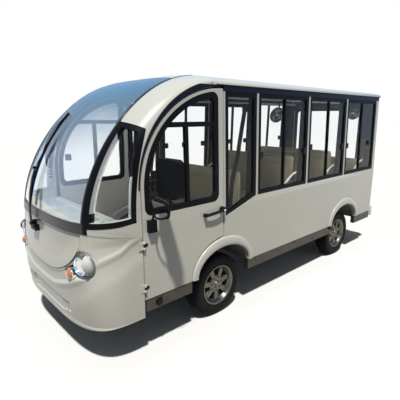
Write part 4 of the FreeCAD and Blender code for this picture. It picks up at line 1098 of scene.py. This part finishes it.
def mirror_parts():
    """Left mirror: foot on the door, ring, arms and a rounded housing with a lip round its back."""
    y, x = mirror_y, half_width
    foot = ball_block((x + 0.019, y, 1.011), (0.019, 0.03, 0.043), 0.22)
    ring = np.array((0.862, y + 0.012, 1.108))
    upright = (0.25, -0.25, 1.0)
    loop = sweep(circle(ring, 0.046, upright), ring_profile(0.007), upright, closed=True)
    near, far = ring + (-0.046, 0, 0.0115), ring + (0.046, 0, -0.0115)
    under = np.array((mirror_x, y, mirror_z - 0.11))
    rod = ring_profile(0.0075)
    arm = sweep(smooth_path([(x + 0.022, y, 1.04), (x + 0.03, y + 0.006, 1.085), near], 20), rod, (0, 1, 0))
    rise = sweep(smooth_path([far, far + (0.04, -0.006, 0.016), under - (0.008, 0, 0.06), under], 26), rod,
                 (0, 1, 0))
    shell_body = ball_block((mirror_x, y - 0.003, mirror_z), (0.1075, 0.0245, 0.1235), 0.3, 0.1, 64)
    lip = sweep(rounded_loop(mirror_x, y + 0.0215, mirror_z, 0.094, 0.11, 0.28), flat_profile(0.008, 0.01),
                (0, 1, 0), closed=True)
    return joined([foot, loop, arm, rise, shell_body, lip])


def rounded_loop(x, y, z, half_x, half_z, power, count=72):
    """Upright rounded rectangle facing along the bus."""
    a = angles(count)
    return xyz(x + half_x * powered(np.cos(a), power), y, z + half_z * powered(np.sin(a), power))


def mirror_glass():
    """Silvered glass at the back of the housing, slightly domed."""
    r = np.linspace(0, 1, 10)[:, None, None]
    edge = rounded_loop(0, 0, 0, 0.092, 0.108, 0.28)[None]
    front = edge * r + (mirror_x, 0, mirror_z)
    front[..., 1] = mirror_y + 0.0235 + 0.0015 * (1 - r[..., 0] ** 2)
    back = front[::-1].copy()
    back[..., 1] = mirror_y + 0.0205
    return lattice(np.vstack([front, back]), wrap_v=True)


def handle_parts(y_front, y_rear, z):
    """Pull handle: a bowed grip on two feet, with a round boss at its rear end, and its lock."""
    x = side_x(z)
    u = np.linspace(0, 1, 24)
    path = xyz(x + 0.03 + 0.006 * np.sin(pi * u), y_front + (y_rear - y_front) * u,
               z - 0.012 + 0.016 * u)
    grip = sweep(path, flat_profile(0.024, 0.017, 0.5), (1, 0, 0))
    feet = [block((x, y, z - 0.024 + dz), (x + 0.03, y + 0.03, z + 0.002 + dz))
            for y, dz in ((y_front, 0.0), (y_rear - 0.03, 0.014))]
    boss = lathe([(0, 0), (0, 0.026), (0.034, 0.025), (0.04, 0.021), (0.041, 0)],
                 (x, y_rear - 0.006, z + 0.004), (1, 0, 0), 28)
    lock = lathe([(0, 0), (0, 0.01), (0.0035, 0.01), (0.0045, 0.007), (0.0035, 0.005), (0.0035, 0)],
                 (x + 0.041, y_rear - 0.006, z + 0.004), (1, 0, 0), 20)
    return joined([grip, boss] + feet), lock


def latch(x, y, z, size=0.056):
    """Window catch: a small rounded block with a thumb piece."""
    return joined([ball_block((x, y, z), (0.011, size / 2, size * 0.55), 0.25, count=24),
                   ball_block((x - 0.014, y, z - 0.002), (0.007, size * 0.22, size * 0.34), 0.3, count=16)])


door_catch_x, wall_catch_x = 0.726, 0.728
for door in ("driver_door", "codriver_door", "front_passenger_door", "rear_passenger_door"):
    on_side = mirrored if door != "driver_door" else (lambda part: part)
    kept = [lot for lot in lots(door + "_trim") if size_of(lot)[2] > 0.5
            or (size_of(lot)[1] < 0.06 and size_of(lot)[2] < 0.04)]
    piece(door + "_window_frame", joined(kept), rubber, door + "_trim", door)
    front, rear = (corner[1] for corner in corners(door))
    if "passenger" in door:
        handle, lock = handle_parts(rear - 0.2, rear - 0.05, 0.99)
        catches = [latch(door_catch_x, y, 1.4)
                   for y in (front + 0.095, (front + rear) / 2 - 0.02, rear - 0.095)]
    else:
        handle, lock = handle_parts(axle_y - 0.262, axle_y - 0.052, 1.0)
        catches = [latch(door_catch_x, axle_y - 0.092, 1.335, 0.052),
                   latch(door_catch_x, axle_y - 0.69, 1.355)]
        piece(door + "_mirror", on_side(mirror_parts()), plastic, body=door)
        piece(door + "_mirror_glass", on_side(mirror_glass()), chrome, body=door)
    piece(door + "_handle", on_side(handle), plastic, body=door, bevel=0.002)
    piece(door + "_lock", on_side(lock), chrome, body=door)
    piece(door + "_window_catches", on_side(joined(catches)), plastic, body=door)
left_catches, right_catches = (
    joined([latch(wall_catch_x, axle_y + y, z) for y, z in places]) for places in (
        ((0.458, 1.405), (1.174, 1.4), (1.282, 1.43), (1.984, 1.4), (2.096, 1.4), (2.7, 1.406)),
        ((0.08, 1.4), (2.112, 1.4), (2.782, 1.406))))
piece("window_catches", joined([left_catches, mirrored(right_catches)]), plastic)


seal_inset = 0.049
arch_y, arch_z = -0.05, 1.25


def outline_path(points, inset, spacing=0.012):
    """Points set close together along straight runs of (station, height) pairs, on the wall."""
    points = np.asarray(points, float)
    run = np.concatenate([[0], np.cumsum(np.linalg.norm(np.diff(points, axis=0), axis=1))])
    at = np.arange(0, run[-1], spacing)
    y, z = np.interp(at, run, points[:, 0]), np.interp(at, run, points[:, 1])
    return xyz(side_x(z) - inset, axle_y + y, z)


def door_arch(a, b, count=60):
    """Quarter ellipse over the front door, from its front edge to its top, as stations."""
    turn = np.linspace(0, pi / 2, count)
    return np.stack([arch_y - a * np.cos(turn), arch_z + b * np.sin(turn)], -1)


def door_seals():
    """Rubber strips behind the gaps round all four doors, on the body."""
    front = np.vstack([[(-0.825, 0.49)], door_arch(0.775, 0.71), [(-0.027, 1.96), (-0.027, 0.8)]])
    made = [sweep(outline_path(loop, seal_inset), flat_profile(0.026, 0.005), (1, 0, 0)) for loop in (
        front, [(0.407, 0.47), (0.407, 1.93), (1.202, 1.93), (1.202, 0.47)],
        [(1.252, 0.47), (1.252, 1.93), (2.035, 1.93), (2.035, 0.77)])]
    return joined(made[:1] + [mirrored(loop) for loop in made])


def door_channel_shade():
    """Dark strip in the rain channel over the front doors: thin beside the door, wide where it meets the
    rail. Its dark paint is painted shade of the groove low down, and the dark door header where it meets the
    rail.
    """
    w = row(0, 1, 7)
    turn = column(0.02, pi / 2, 120)
    y = arch_y - (0.7815 + 0.01 * w) * np.cos(turn)
    z = np.minimum(arch_z + (0.7165 + 0.043 * w) * np.sin(turn), roof_edge)
    hollow = 0.0012 + 0.0018 * abs(2 * w - 1) ** 2
    x = side_x(z)
    return walled(xyz(x + hollow, axle_y + y, z), xyz(x - 0.004, axle_y + y, z))


def roof_edges():
    """Dark drip strips along both roof edges."""
    y = np.linspace(axle_y - 0.1, corners("roof")[1][1] - 0.004, 60)
    return sweep(xyz(side_x(roof_edge) + 0.0015, y, roof_edge + 0.002), flat_profile(0.007, 0.009), (1, 0, 0))


piece("door_seals", door_seals(), rubber)
# Dark paint over the doors' rain groove: painted shade low down, the dark door header higher up.
piece("door_rain_channel_shades", both(door_channel_shade()), rail_paint)
piece("roof_drip_strips", both(roof_edges()), rubber)


# ---- sills and rear
def bolt(x, y, z, r, proud):
    """Round-headed bolt facing outwards."""
    return lathe([(-0.002, 0), (-0.002, r * 1.25), (0.002, r * 1.25), (0.002, r), (proud, r * 0.85),
                  (proud, 0)], (x, y, z), (1, 0, 0), 24)


sill_x = corners("sills")[1][0]
bright = [bolt(sill_x, axle_y + y, z, 0.009, 0.006) for y, z in (
    (-0.669, 0.44), (-0.62, 0.4), (0.426, 0.427), (0.554, 0.384), (0.8, 0.42), (1.088, 0.434), (1.45, 0.4),
    (1.74, 0.4), (2.6, 0.42))]
dark = [bolt(sill_x, axle_y - 0.698, 0.408, 0.026, 0.014), bolt(sill_x, axle_y + 1.816, 0.44, 0.02, 0.02)]
piece("sill_bolts", both(joined(bright)), sill_metal)
piece("sill_plugs", both(joined(dark)), plastic)
for name, inset, half, power, z, look in (
        ("cases", 0.01, (0.052, 0.012, 0.132), 0.2, 0.83, plastic),
        ("reds", 0.016, (0.044, 0.0085, 0.05), 0.25, 0.9, red_lens),
        ("ambers", 0.016, (0.044, 0.0085, 0.03), 0.25, 0.815, amber_lens),
        ("whites", 0.016, (0.044, 0.0085, 0.031), 0.25, 0.748, white_lens)):
    piece("tail_lamp_" + name, both(ball_block((0.61, tail_y + inset, z), half, power)), look)
piece("rear_plate_panel", ball_block((0, tail_y + 0.006, 0.8), (0.235, 0.007, 0.065), 0.12), paint)
piece("rear_step_tread",
      block((-0.6, tail_y + 0.01, 0.4865), (0.6, corners("rear_bumper")[1][1] - 0.03, 0.4885)),
      rubber)


# ---- seats
pad_face = 0.019
pad_corner = 0.026


def pad_start(name, low, high):
    """Rounded block between two corners, with even faces of the width pad_face."""
    work = bmesh.new()
    bmesh.ops.create_cube(work, size=1.0)
    for vertex in work.verts:
        vertex.co = Vector((np.array(low) + high) / 2 + np.array(vertex.co) * (np.array(high) - low))
    bmesh.ops.bevel(work, geom=work.edges[:], offset=pad_corner, segments=3, profile=0.5, affect="EDGES")
    mesh = bpy.data.meshes.new(name)
    work.to_mesh(mesh)
    work.free()
    made = placed(name, mesh)
    given(made.modifiers.new("even", "REMESH"), mode="VOXEL", voxel_size=pad_face)
    fixed = bpy.data.meshes.new_from_object(made.evaluated_get(bpy.context.evaluated_depsgraph_get()))
    made.modifiers.clear()
    made.data = fixed
    return made


fill_frames = 20


def filled(pads):
    """Each pad filled by cloth under pressure, held where its seams and its base are.

    pads holds (object, held test, furthest movement); the pads share one run of frames.
    """
    scene = bpy.context.scene
    starts = [mesh_points(pad.data) for pad, _, _ in pads]
    for (pad, held, _), start in zip(pads, starts):
        group = pad.vertex_groups.new(name="held")
        group.add(np.flatnonzero(held(start)).tolist(), 1.0, "REPLACE")
        cloth = pad.modifiers.new("filling", "CLOTH")
        given(cloth.settings, quality=5, use_pressure=True, uniform_pressure_force=4.0,
              vertex_group_mass="held")
        cloth.settings.effector_weights.gravity = 0.0
        given(cloth.point_cache, frame_start=1, frame_end=fill_frames)
    for number in range(1, fill_frames + 1):
        scene.frame_set(number)
    graph = bpy.context.evaluated_depsgraph_get()
    for (pad, _, furthest), start in zip(pads, starts):
        fixed = bpy.data.meshes.new_from_object(pad.evaluated_get(graph))
        move = mesh_points(fixed) - start
        length = np.linalg.norm(move, axis=1, keepdims=True)
        move *= np.minimum(1.0, furthest / np.maximum(length, 1e-9))
        fixed.vertices.foreach_set("co", (start + move).ravel())
        pad.modifiers.clear()
        pad.vertex_groups.clear()
        pad.data = fixed
    scene.frame_set(1)


def dressed_pad(pad, replaced):
    """Vinyl, body and one subdivision for a filled pad."""
    pad.data.shade_smooth()
    pad.data.materials.clear()
    pad.data.materials.append(vinyl)
    given(pad.modifiers.new("finer", "SUBSURF"), levels=1, render_levels=1)
    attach(pad, "chassis")
    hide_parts(replaced)


def rounded_frame(half_a, half_b, corner, count=10):
    """Closed rounded rectangle as (a, b) pairs."""
    turn = np.linspace(0, pi / 2, count)
    made = []
    for quarter, (sa, sb) in enumerate(((1, 1), (-1, 1), (-1, -1), (1, -1))):
        angle = turn + quarter * pi / 2
        made.append(np.stack([sa * (half_a - corner) + corner * np.cos(angle),
                              sb * (half_b - corner) + corner * np.sin(angle)], -1))
    loop = np.vstack(made)
    ends = np.roll(loop, -1, 0)
    run = np.concatenate([[0], np.cumsum(np.linalg.norm(ends - loop, axis=1))])
    at = np.linspace(0, run[-1], int(run[-1] / 0.022), endpoint=False)
    closed = np.vstack([loop, loop[:1]])
    return np.stack([np.interp(at, run, closed[:, k]) for k in (0, 1)], -1)


seam_x = 0.2
welt_depth = 0.022


def bench_pad(name, part, swell, upright):
    """Pad inside a CAD cushion or, upright, a CAD back, its held test, and its piping.

    The piping runs round the welt, a plane below a cushion's top or behind a back's front.
    """
    low, high = part[0].min(0) + (swell, swell, 0.003), part[0].max(0) - swell
    square, along = (1, 2) if upright else (2, 1)
    plane = low[1] + welt_depth if upright else high[2] - welt_depth

    def held(points):
        """Foot, welt and the two seams; on a back also the seam of the head band."""
        seams = abs(abs(points[:, 0]) - seam_x) < 0.01
        if upright:
            seams |= (abs(points[:, 2] - (high[2] - 0.105)) < 0.01) & (points[:, 1] < low[1] + 0.02)
        else:
            seams &= points[:, 2] > low[2] + 0.03
        return (points[:, 2] < low[2] + 0.006) | seams | (abs(points[:, square] - plane) < 0.007)

    half, centre = (high - low) / 2, (high + low) / 2
    loop = rounded_frame(half[0] + 0.001, half[along] + 0.001, pad_corner)
    path = np.full((len(loop), 3), plane)
    path[:, [0, along]] = centre[[0, along]] + loop
    piping = sweep(path, ring_profile(0.0045, 8), np.eye(3)[square], closed=True)
    return (pad_start(name, low, high), held, swell), piping


pads, pipings = [], []
cushions, backs = (sorted(lots(node), key=lambda part: part[0][:, 1].min())
                   for node in ("seat_cushions", "seat_backs"))
for label, cushion, back in zip(("first", "second", "third", "rear"), cushions, backs):
    for made in (bench_pad(label + "_bench_cushion", cushion, 0.02, False),
                 bench_pad(label + "_bench_back", back, 0.015, True)):
        pads.append(made[0])
        pipings.append(made[1])
filled(pads)
for pad, _, _ in pads:
    dressed_pad(pad, "seat_backs" if pad.name.endswith("back") else "seat_cushions")
piece("seat_pipings", joined(pipings), piping_vinyl)


# ---- cab and ceiling
def fan_parts(part):
    """Caged fan: shell, motor, hanger and blades, then the wire guard, from its CAD solid."""
    low, high = part[0].min(0), part[0].max(0)
    centre = np.array(((low[0] + high[0]) / 2, high[1] - 0.0648, low[2] + 0.0844))
    axis = unit((0.0, 3.0, -1.0))
    case = lathe([(-0.004, 0.0835), (0.004, 0.0845), (0.012, 0.081), (0.024, 0.062), (0.03, 0.036),
                  (0.052, 0.034), (0.056, 0.026), (0.056, 0)], centre, axis, 40)
    inside = lathe([(-0.004, 0.0835), (0.002, 0.08), (0.016, 0.06), (0.022, 0)], centre, axis, 40)
    hub = lathe([(-0.022, 0), (-0.02, 0.018), (0.01, 0.02), (0.01, 0)], centre, axis, 24)
    top = (centre[0], high[1] - 0.028, high[2])
    hanger = sweep([(*top[:2], centre[2] - 0.02), top], ring_profile(0.008), (0, 1, 0))
    u, v = column(0, 1, 12), row(-1, 1, 9)
    across = np.array((1.0, 0.0, 0.0))
    up = np.cross(axis, across)
    blades = []
    for number in range(3):
        angle = number * 2 * pi / 3 + 0.4 + v * (0.42 + 0.1 * u)
        r = 0.019 + 0.056 * u
        out = np.cos(angle)[..., None] * across + np.sin(angle)[..., None] * up
        depth = (-0.008 + 0.009 * v + 0 * u)[..., None]
        skin = centre + r[..., None] * out + depth * axis
        blades.append(walled(skin, skin + 0.0012 * axis))
    shell_parts = joined([case, inside, hub, hanger] + blades)
    wires, reach = [], 0.084
    for r in (0.026, 0.04, 0.054, 0.068, 0.082):
        ring = circle(centre + (-0.03 + 0.022 * (r / reach) ** 3) * axis, r, axis, 44)
        wires.append(sweep(ring, ring_profile(0.0011, 6), axis, closed=True))
    for number in range(20):
        angle = number * pi / 10
        out = cos(angle) * across + sin(angle) * up
        r = np.linspace(0.016, reach, 9)
        path = centre + r[:, None] * out + (-0.0295 + 0.022 * (r / reach) ** 3)[:, None] * axis
        wires.append(sweep(path, ring_profile(0.0009, 6), axis))
    cap = lathe([(-0.0335, 0), (-0.033, 0.017), (-0.029, 0.02), (-0.027, 0)], centre, axis, 24)
    return shell_parts, joined(wires + [cap])


fans = [fan_parts(part) for part in lots("ceiling_fans")]
piece("ceiling_fan_cases", joined([fan[0] for fan in fans]), plastic, "ceiling_fans")
piece("ceiling_fan_guards", joined([fan[1] for fan in fans]), chrome)

strap = smooth_path([(0.628, -0.575, 1.8), (0.626, -0.633, 1.508), (0.622, -0.645, 1.412),
                     (0.615, -0.7, 1.195), (0.608, -0.712, 1.0), (0.604, -0.7, 0.88)], 50)
belt = [sweep(strap, flat_profile(0.0022, 0.048, 0.4), (1, 0, 0)),
        ball_block((0.628, -0.572, 1.812), (0.016, 0.024, 0.032), 0.3, count=24),
        ball_block((0.604, -0.7, 0.868), (0.012, 0.03, 0.02), 0.3, count=24)]
piece("front_seat_belts", both(joined(belt)), webbing)

dash_high = corners("dashboard")[1]


def dash_tray():
    """Moulded tray behind the windscreen's foot: a raised rim and four shallow wells.

    z = 0.985 + 0.045 at the front rim + 0.014 at the rear lip - 0.05 inside each well.
    """
    x = row(-0.655, 0.655, 150)
    v = column(0, 1, 56)
    front = screen(0.03, x / half_width, 0.026)[..., 1]
    y = front + (tray_rear - front) * v
    cell = abs((abs(x) % 0.315) - 0.1575)
    well = (1 - step(cell, 0.128, 0.14)) * step(v, 0.2, 0.26) * (1 - step(v, 0.8, 0.86)) * (abs(x) < 0.63)
    z = 0.985 + 0.045 * (1 - step(v, 0.02, 0.16)) + 0.014 * step(v, 0.93, 0.97) - 0.05 * well
    outer = xyz(x, y, z)[:, ::-1]
    return walled(outer, outer - (0, 0, 0.005))


def tray_rim():
    """Cream beading along the tray's front rim, just behind the glass."""
    x = np.linspace(-0.655, 0.655, 90)
    y = screen(0.03, x / half_width, 0.03)[..., 1]
    return sweep(xyz(x, y, 1.032), flat_profile(0.018, 0.016, 0.5))


tray_rear = dash_high[1] - 0.004
piece("dash_tray", dash_tray(), tray_paint)
piece("dash_tray_rim", tray_rim(), arm_paint)
switch = ball_block((0.6, dash_high[1] - 0.2, dash_high[2] + 0.072), (0.026, 0.02, 0.013), 0.25, count=24)
dial = lathe([(0, 0), (0, 0.044), (0.016, 0.042), (0.02, 0.036), (0.017, 0)],
             (-0.36, dash_high[1] - 0.11, dash_high[2] + 0.012), (0, 0.35, 0.94), 32)
piece("dash_switches", joined([switch, dial]), plastic)

liner_low, liner_high = corners("headliner")
liner_front, liner_rear, liner_z = liner_low[1], liner_high[1], liner_low[2]
rail_z = liner_z - 0.055
panels = [ball_block((0, y, liner_z - 0.006), (0.36, 0.055, 0.006), 0.15, count=32)
          for y in np.linspace(liner_front + 0.35, liner_rear - 0.35, 4)]
piece("ceiling_light_panels", joined(panels), white_lens)
rails = []
for x in (-0.42, 0.42):
    y = np.linspace(liner_front + 0.25, liner_rear - 0.15, 40)
    rails.append(sweep(xyz(x, y, rail_z), ring_profile(0.0125), (1, 0, 0)))
    rails += [sweep([(x, at, rail_z), (x, at, liner_z + 0.001)], ring_profile(0.009), (0, 1, 0))
              for at in np.linspace(y[0] + 0.05, y[-1] - 0.05, 4)]
piece("ceiling_grab_rails", joined(rails), shadow_grey)


# ---- floor, light and camera
def floor_finish():
    """Pale floor that keeps the shadow; what it bounces back up is dimmer than what is seen."""
    material, tree, inputs = blank_look("studio_floor", {"Roughness": 0.9, "Specular IOR Level": 0.0})
    rays = add(tree, "ShaderNodeLightPath").outputs
    seen = maths(tree, "MAXIMUM", rays["Is Camera Ray"], rays["Is Transmission Ray"])
    seen = maths(tree, "MAXIMUM", seen, rays["Is Glossy Ray"])
    plug(tree, inputs["Base Color"], mix_colour(tree, seen, (0.09, 0.09, 0.09, 1), (1.0, 1.0, 1.0, 1)))
    return material


def studio():
    """Pale floor, white surroundings and one soft, slightly warm light high on the left."""
    points, faces = lattice(np.stack(np.meshgrid(np.linspace(-40, 40, 3), np.linspace(-40, 40, 3),
                                                 [0.0], indexing="ij"), -1)[:, :, 0])
    mesh = bpy.data.meshes.new("studio_floor")
    mesh.from_pydata(points.tolist(), [], faces)
    mesh.materials.append(floor_finish())
    placed("studio_floor", mesh)
    world = bpy.data.worlds.new("surroundings")
    bpy.context.scene.world = world
    world.use_nodes = True
    tree = world.node_tree
    rays = add(tree, "ShaderNodeLightPath").outputs
    direct = maths(tree, "MAXIMUM", rays["Is Camera Ray"], rays["Is Transmission Ray"])
    sky = mix_colour(tree, rays["Is Glossy Ray"], (0.11, 0.125, 0.14, 1), (0.42, 0.64, 0.98, 1))
    plug(tree, tree.nodes["Background"].inputs["Color"], mix_colour(tree, direct, sky, (1.0, 1.0, 1.0, 1)))
    lamp = given(bpy.data.lights.new("key", "SUN"), energy=3.2, angle=radians(3.0),
                 color=(1.0, 0.975, 0.925))
    given(placed("key", lamp), location=(3.4, -2.7, 9.0), rotation_euler=towards((-0.34, 0.27, -0.9)))


def towards(direction):
    """Turn that points a lamp or camera along a direction."""
    return Vector(direction).to_track_quat("-Z", "Y").to_euler()


def set_camera():
    """Camera ahead of the left front corner, a little below roof height."""
    yaw, pitch = radians(47.5), radians(13.24)
    look = (-sin(yaw) * cos(pitch), cos(yaw) * cos(pitch), -sin(pitch))
    lens = given(bpy.data.cameras.new("camera"), sensor_width=36.0, lens=32.4, clip_end=200.0)
    bpy.context.scene.camera = given(placed("camera", lens), location=(2.738, -3.034, 1.754),
                                     rotation_euler=towards(look))


studio()
set_camera()
bpy.context.scene.view_settings.view_transform = "Standard"
